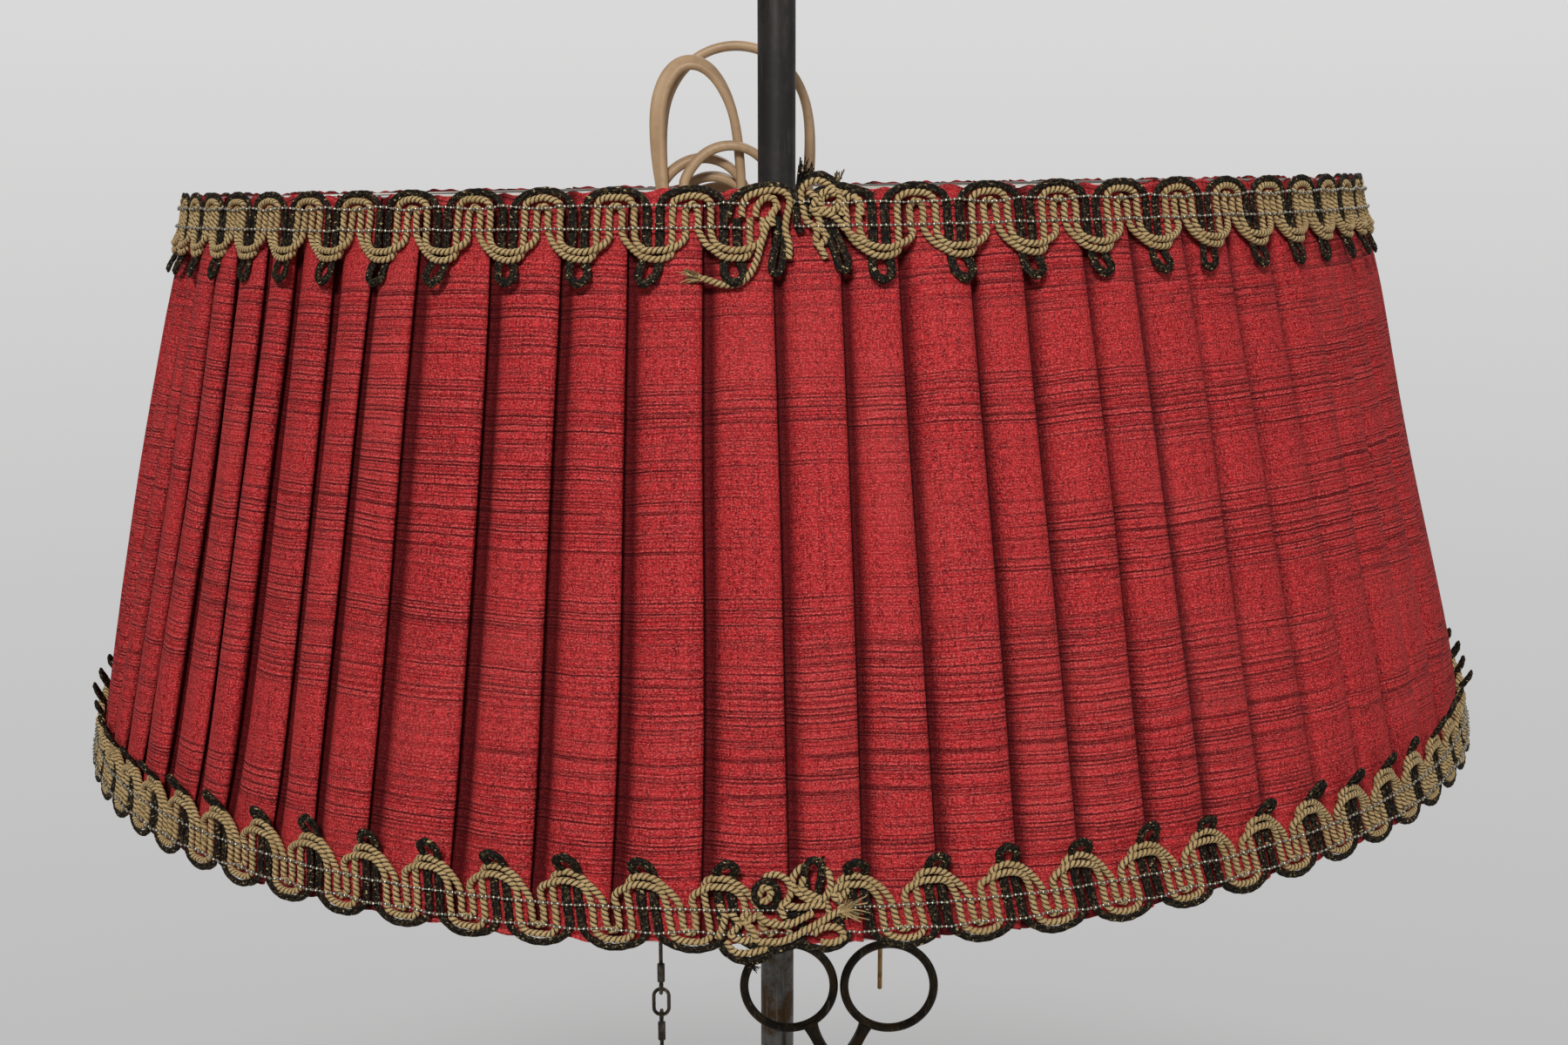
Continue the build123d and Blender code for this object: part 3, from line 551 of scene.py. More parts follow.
body_red = silk.blend(thick_slubs * 0.90, body_red, tint(74, 4, 9))
# Painted shade: the red is darkened deep in the pleats' folds, by the mark kept with each point.
fold_shade_mask = silk.node("Attribute", {"attribute_name": "painted_fold_shade"}, output=2)
body_red = silk.blend(fold_shade_mask.above(0.66, 0.62) * 0.84, body_red, tint(54, 2, 6))
silk.set("Base Color", body_red)
silk.set("Roughness", 0.62 + 0.2 * thread)
silk.bump(thread + 0.5 * beside_slubs - 0.8 * thick_slubs - 0.4 * fine_slubs, 0.75, 0.25 * mm)

# %% The cover
cover = make_piece("silk_cover", cloth, grid_faces(rows, columns), silk,
                   "shade_and_lights")
uv = cover.data.uv_layers.new(name="cloth")
corner = np.empty(len(cover.data.loops), dtype=np.int32)
cover.data.loops.foreach_get("vertex_index", corner)
in_row, in_column = corner // columns, corner % columns
corner_u = cloth_u[in_column]
last = np.repeat(in_column.reshape(-1, 4).max(axis=1) == columns - 1, 4) & (in_column == 0)
last &= np.repeat(in_column.reshape(-1, 4).min(axis=1) == 0, 4)
corner_u = np.where(last, travelled, corner_u)
corner_v = height[in_row] / cos(cone_angle) + cloth_v[in_column]
uv.data.foreach_set("uv", np.stack([corner_u, corner_v], axis=1).ravel().astype(np.float32))
fold = cover.data.attributes.new("painted_fold_shade", "FLOAT", "POINT")
fold.data.foreach_set("value", painted_fold_shade.ravel().astype(np.float32))
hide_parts("pleated_cover")
strip_height = (rim_z - edge_z) / cos(cone_angle)

# %% [markdown]
# ## The lining
# A plain white lining hides the wire frame from inside.  It is glued over both rings, so its
# folded edges show as a thin pale line under the lower rim and inside the upper one.

# %% Lining
linen = Finish("white lining", Roughness=0.8, Sheen_Weight=0.1)
place = linen.place()
threads = linen.noise(linen.stretched(place, (1400, 1400, 500)), 1.0, 2)
age = linen.noise(place, 14, 3)
linen.set("Base Color", linen.blend(age.above(0.6, 0.4) * 0.5, tint(226, 222, 216), tint(204, 192, 174)))
linen.bump(threads, 0.3, 0.2 * mm)
inside, wrap = 2 * pleat_depth + 1.0 * mm, pleat_depth + 0.15 * mm
lining_shape = [
    (wrap, edge_z + 4 * mm), (wrap, edge_z - 0.6 * mm), (wrap + 1.2 * mm, edge_z - 1.3 * mm),
    (inside - 0.4 * mm, edge_z - 0.8 * mm), (inside, edge_z + 2 * mm), (inside, rim_z - 3 * mm),
    (inside - 0.5 * mm, rim_z - 0.4 * mm), (wrap + 1.2 * mm, rim_z + 0.1 * mm),
    (wrap, rim_z - 0.3 * mm), (wrap, rim_z - 4 * mm),
]
turns_of_lining = np.linspace(0, 2 * pi, 361)[:-1]
profile = even_line(np.array([(-inset, z, 0.0) for inset, z in lining_shape]), 0.7 * mm)
at_hems = (profile[:, 1] < edge_z + 6 * mm) | (profile[:, 1] > rim_z - 7 * mm)
kept = at_hems | (np.arange(len(profile)) % 6 == 0)
profile = profile[kept]
lining_rows = []
for out, z, _ in profile:
    bow = 0.6 * mm * sin(pi * min(1, max(0, (z - edge_z) / (rim_z - edge_z))))
    lining_rows.append(on_cone(turns_of_lining, z, out - bow * (1 - np.cos(turns_of_lining * 6))))
lining = make_piece("white_lining", np.array(lining_rows),
                    grid_faces(len(profile), 360), linen, "shade_and_lights")
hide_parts("lining")

# %% [markdown]
# ## The gimp braid
# Gimp is worked on a loom from cords that snake up and down.  Two twisted beige cords make an
# inner and an outer arch at the scalloped side, run down in four columns, and swap places in two
# crossing bows.  A flat dark cord arches over each pair, runs down between them in two columns,
# and hangs out below as a small picot loop.  Two metal threads are stitched across it all.
# One repeat is drawn in its own flat coordinates: columns along, millimetres across, and
# millimetres out from the cloth; then it is laid round the cone again and again.

# %% One repeat of each cord
wide_cord = [
    (2, 8.2, 0.9), (2, 5.6, 1.0), (2.12, 3.9, 1.1), (2.65, 2.8, 1.2), (3.5, 2.5, 1.3),
    (4.35, 2.8, 1.2), (4.88, 3.9, 1.1), (5, 5.6, 1.0), (5, 8.2, 0.9), (5, 11, 1.0), (5.1, 13, 1.2),
    (5.45, 14.9, 1.6), (6.05, 16.0, 2.2), (6.8, 16.3, 2.3), (7.5, 16.2, 2.3), (8.2, 15.5, 2.0),
    (8.8, 14.2, 1.6), (9.06, 12.6, 1.2), (9, 10.8, 1.0), (9, 8.2, 0.9),
]
deep_cord = [
    (3, 8.2, 0.9), (3, 6.4, 0.9), (3.1, 5.3, 0.9), (3.5, 4.6, 0.9), (3.9, 5.3, 0.9), (4, 6.4, 0.9),
    (4, 8.2, 0.9), (4.02, 10.8, 0.9), (4.2, 12.6, 1.0), (4.65, 14.6, 1.1), (5.2, 16.2, 1.3),
    (5.7, 17.4, 1.6), (6.2, 18.1, 1.9), (6.9, 18.4, 2.0), (7.5, 18.1, 1.8), (7.9, 17.0, 1.2),
    (8.0, 15, 0.9), (8, 12, 0.9), (8, 8.2, 0.9),
]
dark_arch = [
    (1, 8.2, 0.7), (1, 5.4, 0.9), (1.08, 4.2, 1.1), (1.55, 2.4, 1.2), (2.5, 1.1, 1.3),
    (3.5, 0.7, 1.3), (4.5, 1.1, 1.3), (5.45, 2.4, 1.2), (5.92, 4.2, 1.1), (6, 5.4, 0.9),
    (6, 8.2, 0.7),
]
dark_loop = [
    (6, 8.2, 0.7), (6, 12, 0.7), (6, 16, 0.6), (5.92, 18.8, 0.9), (5.8, 20.9, 1.4),
    (5.88, 23.0, 1.9), (6.5, 24.5, 2.2), (7.12, 23.0, 1.9), (7.2, 20.9, 1.4), (7.08, 18.8, 0.9),
    (7, 16, 0.6), (7, 12, 0.7), (7, 8.2, 0.7),
]
column_width = 3.2 * mm
round_step, flat_step = 0.3, 0.55  # mm between the sections of a round and of a flat cord


class Braid:
    """A braid laid round the cone, from one side of its seam round to the other."""

    def __init__(self, name, repeats, peak_z, way, seam_at, gap, loose_at, seed):
        """seam_at is how far the first loop is from the front, gap how far the last is from
        the first, and loose_at how far the loose strands' zero is from the front, in metres
        along the cloth; way is -1 for a braid sewn upside down."""
        self.name, self.repeats, self.peak, self.way = name, repeats, peak_z, way
        self.loose_at = loose_at
        self.lift = 0.1 * mm if way > 0 else 2.2 * mm  # the cloth stands proud at the lower edge
        self.radius = cone_radius(peak_z)
        self.column = (2 * pi - gap / self.radius) / (repeats - 1) / 6
        self.start = -pi / 2 + seam_at / self.radius - way * 6.5 * self.column
        self.dice = Random(seed)
        self.beige, self.dark, self.metal = Bundle(), Bundle(), Bundle()

    def put(self, angle, down, out):
        behind = (1 + np.sin(angle)) / 2
        z = self.peak - self.way * (down * cos(cone_angle) + 1.6 * mm * behind**2)
        return on_cone(angle, z, out + self.lift)

    def lay(self, spots):
        """Points in columns, metres down and metres out, put on the cone."""
        skew = (0.25 if self.way < 0 else 0.0) * np.clip((spots[:, 1] - 8 * mm) / (5 * mm), -1.2, 1.2)
        angle = self.start + self.way * self.column * (spots[:, 0] + skew)
        return self.put(angle, spots[:, 1], spots[:, 2])

    def lay_loose(self, spots):
        """Points in millimetres right of the seam, down from the peaks and out."""
        spots = np.array(spots) * mm
        return self.put(-pi / 2 + (self.loose_at + spots[:, 0]) / self.radius, spots[:, 1], spots[:, 2])

    def shaken(self, corners, repeat, amount, tip=(0, 0)):
        """One repeat's corners in place, each moved a little, the far end tilted."""
        corners = np.array(corners) * np.array([1, mm, mm])
        for corner in corners[1:-1]:
            corner[0] += self.dice.uniform(-amount, amount) * mm / column_width
            corner[1] += self.dice.uniform(-amount, amount) * mm
            corner[2] += self.dice.uniform(-0.5, 0.5) * amount * mm
        far = np.clip((corners[:, 1] - 17 * mm) / (7 * mm), 0, 1)
        corners[:, 0] += far * tip[0] + 6 * repeat
        corners[:, 2] += far * tip[1] * mm
        return corners

    def run(self, corners, step):
        """A smooth line through corners given in columns, laid on the cone."""
        even = np.array([column_width] + [1] * (corners.shape[1] - 1))
        line = smooth_line(corners * even, step) / even
        return self.lay(line), line[:, 3:]


def outwards(line):
    """The level direction away from the lamp's axis, at each point of a line."""
    flat = line * np.array([1, 1, 0])
    return flat / np.linalg.norm(flat, axis=1, keepdims=True)


def carry_round(line, size, around):
    """A round tube along a line, as thick at each point as size says."""
    return carry_section(line, outwards(line), size * np.cos(around), size * np.sin(around))


# %% Twisted, flat, beaded and frayed
def twisted_cord(braid, line, radius=0.92 * mm, lay=2.7 * mm):
    """Two plies twisted: a section like a figure eight that turns as it goes."""
    line = even_line(line, 0.3 * mm)
    turn = np.arange(len(line))[:, None] * 0.3 * mm * 2 * pi / lay + braid.dice.uniform(0, 6)
    around = np.linspace(0, 2 * pi, 12, endpoint=False)[None, :]
    ply = np.abs(np.cos(around - turn))
    reach = radius * (0.60 + 0.40 * ply**0.7)
    # the ply mark, low in the grooves between the plies, paints shade there in the yarn's finish
    braid.beige.add(carry_round(line, reach, around), ply)


def flat_cord(braid, line, width, depth=0.62 * mm):
    """Four fine threads side by side, as wide as width says at each point."""
    around = np.linspace(0, 2 * pi, 20, endpoint=False)[None, :]
    ridge = 0.5 + 0.5 * np.cos(8 * around)
    knots = np.sin(np.arange(len(line))[:, None] * 0.55 * mm * 2100 + 3 * np.cos(2 * around))
    across = width / 2 * np.cos(around) * (0.94 + 0.06 * knots)
    up = depth * np.sin(around) * (0.72 + 0.28 * ridge + 0.12 * knots)
    # the mark, low between the four threads and where the cord thins between knots, paints shade there
    # in the yarn's finish
    braid.dark.add(carry_section(line, outwards(line), across, up), 0.65 * ridge + 0.175 * (1 + knots))


def metal_thread(braid, across_at, height, sway):
    """A stitched thread that rides over each column, with uneven beads of plate."""
    total = braid.repeats * 6 + 2
    column = np.arange(0, total, 0.07)
    wander = np.array([braid.dice.uniform(-1, 1) for _ in range(total + 2)])
    steps = np.arange(total + 2)
    at = across_at + sway * np.cos(2 * pi * (column - 3.5) / 6)
    at += 0.22 * mm * np.interp(column, steps, wander)
    out = height + 0.3 * mm * np.cos(2 * pi * column) + 0.2 * mm * np.interp(column * 0.7, steps, wander)
    line = braid.lay(np.c_[column, at, out])
    uneven = 1.5 * np.interp(column * 1.3, steps, wander)
    bead = np.clip(np.cos(2 * pi * column * 2.7 + uneven), 0, 1) ** 2
    size = (0.17 + 0.26 * bead)[:, None] * mm
    around = np.linspace(0, 2 * pi, 6, endpoint=False)[None, :]
    braid.metal.add(carry_round(line, size, around), np.repeat(bead[:, None], 6, axis=1))


def frayed(braid, bundle, base, tip, count, spread, mark):
    """A frayed end: fine threads that spread between a base and a tip, in loose millimetres."""
    base, tip = np.array(base, dtype=float), np.array(tip, dtype=float)
    around = np.linspace(0, 2 * pi, 5, endpoint=False)[None, :]
    for _ in range(count):
        away = np.array([braid.dice.uniform(-1, 1) * spread for _ in range(3)])
        reach = braid.dice.uniform(0.6, 1.1)
        start = base + 0.25 * away
        middle = base + (tip - base) * reach * 0.5 + 0.45 * away
        middle += np.array([braid.dice.uniform(-0.5, 0.5) for _ in range(3)])
        line = braid.lay_loose(smooth_line([start, middle, base + (tip - base) * reach + away], 0.4))
        size = np.linspace(0.24, 0.12, len(line))[:, None] * mm
        shade = np.full((len(line), 5), mark + braid.dice.uniform(-0.2, 0.2))
        bundle.add(carry_round(line, size, around), shade)


def lay_strands(braid, beige, dark):
    """The loose strands of one seam: round beige cords, then flat dark ones."""
    for corners in beige:
        twisted_cord(braid, braid.lay_loose(smooth_line(corners, round_step)))
    for corners in dark:
        line = braid.lay_loose(smooth_line(corners, flat_step))
        flat_cord(braid, line, np.full((len(line), 1), 2.1 * mm))


# %% Both braids
top = Braid("top_gimp", 64, rim_z + 0.9 * mm, 1, 27.2 * mm, 36.4 * mm, 7.6 * mm, 11)
low = Braid("low_gimp", 77, edge_z - 1.9 * mm, -1, -12.4 * mm, 32.8 * mm, 3.7 * mm, 23)
arch_width = np.full(len(dark_arch), 2.0 * mm)
arch_width[[0, 1, -2, -1]] = 2.4 * mm
loop_width = np.full(len(dark_loop), 2.5 * mm)
loop_width[4:9] = 2.4 * mm
for braid in (top, low):
    for repeat in range(braid.repeats):
        for cord in (wide_cord, deep_cord):
            twisted_cord(braid, braid.run(braid.shaken(cord, repeat, 0.16), round_step * mm)[0])
        arch = braid.shaken(dark_arch, repeat, 0.14)
        line, width = braid.run(np.c_[arch, arch_width], flat_step * mm)
        flat_cord(braid, line, width)
        stands = (-0.5, 1.0) if braid is top else (1.5, 4.0)
        tip = (braid.dice.uniform(-0.6, 0.6), braid.dice.uniform(*stands))
        loop = braid.shaken(dark_loop, repeat, 0.16, tip)
        if braid is low:
            loop[:, 1] -= np.clip(loop[:, 1] - 18 * mm, 0, 1) * braid.dice.uniform(0.1, 0.4)
        line, width = braid.run(np.c_[loop, loop_width], flat_step * mm)
        flat_cord(braid, line, width)
    metal_thread(braid, 4.9 * mm, 2.15 * mm, 0.3 * mm)
    metal_thread(braid, 10.6 * mm, 2.05 * mm, 0.0)

# %% [markdown]
# ## The seams
# Each braid's two ends meet at the front, and nobody hid the join.  Cords that lost their
# neighbours hang loose or were tucked across, and the cut ends have frayed.  These few strands
# are drawn one by one, in millimetres right of the seam, down from the peaks and out.

# %% The upper seam
loose_beige = [
    [(-13.9, 8, 1), (-13.9, 5.4, 1), (-12.6, 3, 1.2), (-9.6, 1.8, 1.3), (-6.0, 1.4, 1.4),
     (-3.2, 2.2, 1.4), (-2.2, 4.4, 1.4), (-3.0, 8, 1.6), (-3.4, 11.5, 1.6), (-2.6, 15, 1.5),
     (-2.7, 18.6, 1.2)],
    [(-10.6, 8, 1), (-10.3, 5.5, 1), (-8.4, 3.4, 1.2), (-6.2, 3.6, 1.4), (-5.6, 5.6, 1.6),
     (-7.2, 8.2, 1.6), (-8.4, 11.6, 1.6), (-9.6, 15.4, 1.6), (-10.4, 18.6, 1.8),
     (-12.4, 22.6, 1.6), (-15.4, 24.6, 0.9), (-19, 24.6, 0.8), (-22.6, 23.4, 1.2),
     (-24.6, 23.0, 1.4)],
    [(-4.9, 5.2, 1.8), (-6.6, 7.8, 1.9), (-6.4, 10.4, 1.7)],
    [(1.0, 5.4, 1.6), (1.7, 9, 1.6), (4.2, 11.4, 1.8), (3.9, 14.3, 1.5), (5.0, 16.0, 1.4),
     (6.3, 18.6, 1.2)],
    [(3.0, 6.2, 1.8), (4.6, 8.4, 2.0), (5.2, 11.2, 2.0), (6.4, 13.4, 1.6), (4.4, 16.2, 1.2)],
    [(0.8, 5, 1.4), (0.7, 1.7, 1.6), (2.4, -0.2, 1.7), (5.2, -0.7, 1.7), (7.7, 0.7, 1.7),
     (10.2, 3.2, 1.6), (10.6, 6, 1.4), (10.3, 8, 1.2)],
    [(7.2, 1.6, 2.0), (9.6, 2.6, 2.1), (9.9, 5.2, 2.1), (8.0, 7.0, 2.1), (5.6, 6.0, 2.1),
     (5.0, 3.4, 2.0), (7.0, 2.0, 2.4), (9.0, 3.0, 2.5)],
    [(2.2, 2.2, 2.2), (4.2, 3.8, 2.6), (3.4, 6.2, 2.4), (5.8, 7.4, 2.2), (8.6, 8.4, 1.8),
     (11.2, 11.4, 1.6), (13.6, 13.6, 1.8), (16.6, 15.4, 2.2)],
    [(11.2, 8, 1), (11.4, 4.6, 1.2), (13.2, 3.2, 1.3), (15.0, 4.6, 1.2), (15.4, 8, 1)],
]
loose_dark = [
    [(-5.2, 8, 0.8), (-5.4, 13, 0.8), (-6.4, 17.5, 0.9), (-6.9, 21, 1.0), (-5.8, 22.2, 1.1),
     (-4.7, 21, 1.0), (-4.0, 17.5, 0.9), (-3.6, 13, 0.8), (-3.4, 9, 0.8)],
    [(6.0, 9.0, 0.8), (7.0, 13, 1.2), (8.4, 17, 1.6), (9.2, 20.4, 1.8), (10.8, 21.8, 1.8),
     (11.6, 20.0, 1.6), (10.2, 15.6, 1.2), (8.6, 11.6, 0.9), (8.0, 9.2, 0.8)],
    [(-17.3, 8, 0.8), (-16.6, 4.2, 1.1), (-13.6, 1.6, 1.3), (-9.0, 0.4, 1.4), (-4.6, 0.6, 1.4),
     (-1.6, 2.2, 1.3), (-0.8, 4.6, 1.2)],
    [(-0.6, 5.2, 1.3), (0.0, 1.4, 1.5), (2.0, -1.2, 1.6), (5.2, -2.2, 1.6), (7.8, -1.2, 1.5),
     (9.6, 0.6, 1.3)],
    [(11.6, 3.8, 1.4), (13.6, 2.4, 1.6), (16.0, 2.2, 1.5), (18.4, 3.4, 1.3)],
    [(-0.5, 4, 0.6), (-0.6, 9, 0.6), (0.4, 12, 0.7)],
]
lay_strands(top, loose_beige, loose_dark)
frayed(top, top.beige, (-24.4, 23.0, 1.4), (-27.6, 22.2, 2.2), 34, 2.3, 0.55)
frayed(top, top.dark, (-0.2, 1.5, 1.4), (1.6, -5.2, 1.6), 30, 1.5, 0.1)
frayed(top, top.dark, (1.2, 0.4, 1.4), (3.6, -4.4, 1.0), 18, 1.2, 0.2)
frayed(top, top.beige, (9.0, 0.6, 1.2), (10.6, -2.8, 1.4), 20, 1.1, 0.35)

# %% The lower seam
loose_beige = [
    [(-16.6, 3, 1.4), (-14.8, 0.6, 1.6), (-12.2, 0.1, 1.7), (-9.4, 0.5, 1.8), (-6.4, 1.4, 1.8)],
    [(-18.4, 12, 1.2), (-16.8, 9, 1.4), (-17.6, 6, 1.5), (-18.6, 3.6, 1.5)],
    [(-15.5, 10, 1.6), (-13.4, 7.2, 2.0), (-15.4, 4.6, 2.0), (-12.2, 3.2, 2.1), (-9.0, 4.6, 2.4),
     (-11.6, 7.4, 2.4), (-8.6, 9.6, 2.2)],
    [(-10.8, 10.4, 2.0), (-12.6, 8.4, 2.4), (-10.2, 6.2, 2.8), (-9.0, 3.4, 3.0), (-6.2, 3.2, 3.2),
     (-3.4, 3.2, 3.2), (-0.4, 4.2, 3.2), (2.6, 5.8, 3.2), (5.8, 7.4, 3.0), (8.8, 9.0, 2.8),
     (11.4, 10.2, 2.6)],
    [(-8.6, 9.4, 2.6), (-6.4, 7.8, 3.0), (-3.6, 7.2, 3.2), (-0.8, 7.4, 3.2), (1.8, 8.6, 3.0),
     (4.6, 9.8, 2.6)],
    [(-7.4, 18.4, 1.8), (-4.6, 19.2, 2.0), (-2.0, 18.2, 2.1), (-0.7, 15.8, 2.1), (-1.4, 13.2, 2.0),
     (-3.2, 11.2, 1.9), (-2.4, 8.6, 2.2)],
    [(-8.4, 14.4, 3.0), (-7.4, 16.4, 3.6), (-5.6, 15.4, 3.6), (-6.4, 13.2, 3.2), (-8.2, 13.0, 3.0)],
    [(3.0, 21.2, 1.8), (1.2, 20.2, 2.0), (-0.2, 18.2, 2.1), (0.2, 15.8, 2.2), (2.4, 13.6, 2.3),
     (5.4, 12.6, 2.3), (8.0, 14.0, 2.2), (9.0, 16.6, 2.1), (8.4, 19.4, 2.0), (6.8, 20.4, 1.8)],
    [(2.6, 18.6, 2.6), (1.8, 16.2, 2.8), (3.6, 14.6, 2.8), (6.0, 13.4, 2.6)],
    [(-2.6, 12.2, 2.2), (0.8, 11.2, 2.4), (4.4, 11.6, 2.4), (7.4, 11.4, 2.2)],
    [(4.4, 4.6, 2.2), (7.0, 6.2, 2.5), (10.2, 6.0, 2.5), (11.8, 3.8, 2.3), (9.2, 2.4, 2.1),
     (6.2, 2.6, 2.0)],
    [(9.4, 14.4, 1.8), (10.6, 12.4, 1.9), (12.0, 13.8, 1.7), (13.4, 15.2, 1.6)],
]
loose_dark = [
    [(-18.8, 5.2, 0.9), (-17.6, 1.4, 1.1), (-14.6, -1.2, 1.2), (-11.0, -2.0, 1.2),
     (-7.6, -1.2, 1.2), (-5.4, 0.4, 1.2)],
    [(-5.6, 10.4, 1.2), (-8.6, 12.4, 2.6), (-9.4, 15.4, 3.4), (-7.4, 17.8, 3.6), (-4.8, 17.0, 3.4),
     (-4.0, 14.2, 2.6), (-4.8, 11.2, 1.4)],
    [(3.6, 12.0, 1.2), (3.0, 16.0, 1.8), (2.8, 20.4, 2.8), (4.8, 22.8, 3.4), (6.8, 21.0, 3.0),
     (6.2, 16.4, 2.0), (5.2, 12.2, 1.2)],
    [(0.8, 4.4, 1.0), (2.4, 2.0, 1.3), (5.6, 0.9, 1.4), (9.0, 1.0, 1.4), (12.0, 2.4, 1.3),
     (13.4, 4.6, 1.1)],
    [(-3.8, 10.4, 0.9), (-2.0, 8.8, 1.0), (1.6, 9.6, 1.0), (4.8, 11.0, 1.0)],
    [(9.0, 8.4, 1.4), (11.0, 7.2, 1.6), (11.4, 5.0, 1.6)],
]
lay_strands(low, loose_beige, loose_dark)
frayed(low, low.beige, (11.2, 10.2, 2.6), (15.2, 10.4, 2.2), 60, 3.1, 0.6)
frayed(low, low.dark, (-12.0, -1.0, 1.4), (-10.0, -3.6, 1.6), 30, 1.8, 0.15)
frayed(low, low.dark, (5.4, 21.8, 3.0), (7.4, 23.0, 3.2), 14, 0.8, 0.3)

# %% Braid yarns
beige_yarn = Finish("beige twisted yarn", Roughness=0.85, Sheen_Weight=0.05, Specular_IOR_Level=0.2)
ply = beige_yarn.node("Attribute", {"attribute_name": "mark"}, output=2)
place = beige_yarn.place()
fuzz = beige_yarn.noise(place, 2600, 2)
soiled = beige_yarn.noise(place, 130, 3)
# Painted shade: the yarn is near black in the grooves between its plies, where the ply mark is low.
yarn = beige_yarn.blend(ply.above(0.52, 0.42), tint(40, 32, 18), tint(184, 156, 108))
yarn = beige_yarn.blend(soiled.above(0.55, 0.3) * 0.4, yarn, tint(140, 112, 68))
yarn = beige_yarn.blend(fuzz.above(0.60, 0.12) * 0.45, yarn, tint(214, 190, 146))
beige_yarn.set("Base Color", yarn)
beige_yarn.bump(fuzz, 0.5, 0.15 * mm)

dark_yarn = Finish("dark yarn with gold", Roughness=0.7, Specular_IOR_Level=0.12)
place = dark_yarn.place()
strand = dark_yarn.node("Attribute", {"attribute_name": "mark"}, output=2)
speck = dark_yarn.noise(place, 1500, 2)
glint = dark_yarn.noise(dark_yarn.stretched(place, (900, 900, 1500)), 1.0, 1)
# Painted shade: the yarn is darkest between its threads and between its knots, where the mark is low.
yarn = dark_yarn.blend(strand.above(0.55, 0.7), tint(6, 5, 4), tint(34, 28, 21))
yarn = dark_yarn.blend(speck.above(0.60, 0.10) * 0.55, yarn, tint(104, 86, 56))
yarn = dark_yarn.blend(glint.above(0.70, 0.05) * 0.8, yarn, tint(188, 166, 118))
dark_yarn.set("Base Color", yarn)
dark_yarn.bump(speck, 0.6, 0.2 * mm)

metal_yarn = Finish("metal thread", Roughness=0.38, Metallic=0.75)
bead = metal_yarn.node("Attribute", {"attribute_name": "mark"}, output=2)
wear = metal_yarn.noise(metal_yarn.place(), 900, 2)
metal_yarn.set("Base Color", metal_yarn.blend(bead.above(0.55, 0.6), tint(120, 112, 92),
                                              tint(240, 236, 224)))
metal_yarn.set("Roughness", 0.22 + 0.4 * wear)

for braid, node in ((top, "top_braid"), (low, "bottom_braid")):
    made = [braid.beige.piece(braid.name + "_beige", beige_yarn, "shade_and_lights"),
            braid.dark.piece(braid.name + "_dark", dark_yarn, "shade_and_lights"),
            braid.metal.piece(braid.name + "_thread", metal_yarn, "shade_and_lights")]
    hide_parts(node)

# %% [markdown]
# ## Metal, old and new
# Every hard part keeps its shape from the frame and gets a finish.  Old lamp metal is never one
# colour: lacquer wears off where hands touch it, brown patina stays in the hollows, and fine
# scratches run with the polishing.  One helper mixes those for brass, bronze and steel, and the
# colours and amounts tell them apart.

# %% A worn metal
def worn_metal(name, bright, dull, share, rough, scratch=(900, 900, 60), metallic=0.9,
               scale=55, rubbed=0.25):
    """Metal whose dull patches cover a share of it, with fine scratches drawn out one way.

    rubbed is how bright the scratches are."""
    made = Finish(name, Metallic=metallic)
    place = made.place()
    clouds = made.noise(place, scale, 4, 0.6)
    fine = made.noise(place, scale * 9, 3, 0.6)
    lines = made.noise(made.stretched(place, scratch), 1.0, 2)
    patina = (clouds + 0.25 * (fine - 0.5)).above(1 - share, 0.24)
    colour = made.blend(patina, bright, dull)
    colour = made.blend(lines.above(0.66, 0.12) * rubbed, colour, tint(200, 190, 170))
    made.set("Base Color", colour)
    made.set("Roughness", rough + 0.22 * patina + 0.12 * (lines - 0.5))
    made.set("Metallic", metallic - 0.25 * patina)
    made.bump(fine + 0.4 * lines, 0.25, 0.08 * mm)
    return made


# %% The metals
aged_brass = worn_metal("aged brass", tint(168, 132, 74), tint(112, 84, 48), 0.48, 0.30)
bright_brass = worn_metal("plain brass", tint(186, 152, 92), tint(110, 84, 48), 0.36, 0.28)
rod_black = worn_metal("browned steel", tint(56, 52, 49), tint(30, 28, 27), 0.5, 0.34,
                       metallic=0.55, rubbed=0.04)
tarnished = worn_metal("tarnished brass tube", tint(118, 118, 116), tint(84, 62, 38), 0.50, 0.30,
                       scratch=(700, 700, 30), scale=95)
dark_steel = worn_metal("dark bronze", tint(58, 47, 32), tint(26, 21, 16), 0.5, 0.36,
                        scale=120, rubbed=0.12)
chain_steel = worn_metal("chain steel", tint(104, 96, 84), tint(52, 44, 36), 0.5, 0.34, scale=300)
pick_brass = worn_metal("pick brass", tint(176, 140, 84), tint(112, 84, 50), 0.4, 0.34, scale=160)
plated = worn_metal("plated wire", tint(150, 146, 138), tint(104, 88, 66), 0.3, 0.32, scale=140)
cast_iron = worn_metal("cast iron", tint(66, 64, 62), tint(48, 38, 32), 0.45, 0.62, metallic=0.5)
box_metal = worn_metal("lacquered spun metal", tint(150, 120, 72), tint(92, 70, 42), 0.4, 0.32)
pin_brass = worn_metal("nickel pins", tint(196, 190, 176), tint(140, 130, 110), 0.3, 0.25, scale=260)


# %% Felt, bakelite, rubber, glass
def plain_finish(name, light, dark, rough, grain, depth, **numbers):
    """A finish of one material, with fine grain and faint wear."""
    made = Finish(name, **numbers)
    place = made.place()
    fine = made.noise(place, grain, 3, 0.6)
    wide = made.noise(place, grain / 14, 3)
    made.set("Base Color", made.blend((0.5 * fine + 0.5 * wide).above(0.5, 0.4), dark, light))
    made.set("Roughness", rough + 0.2 * (wide - 0.5))
    made.bump(fine, 0.4, depth)
    return made


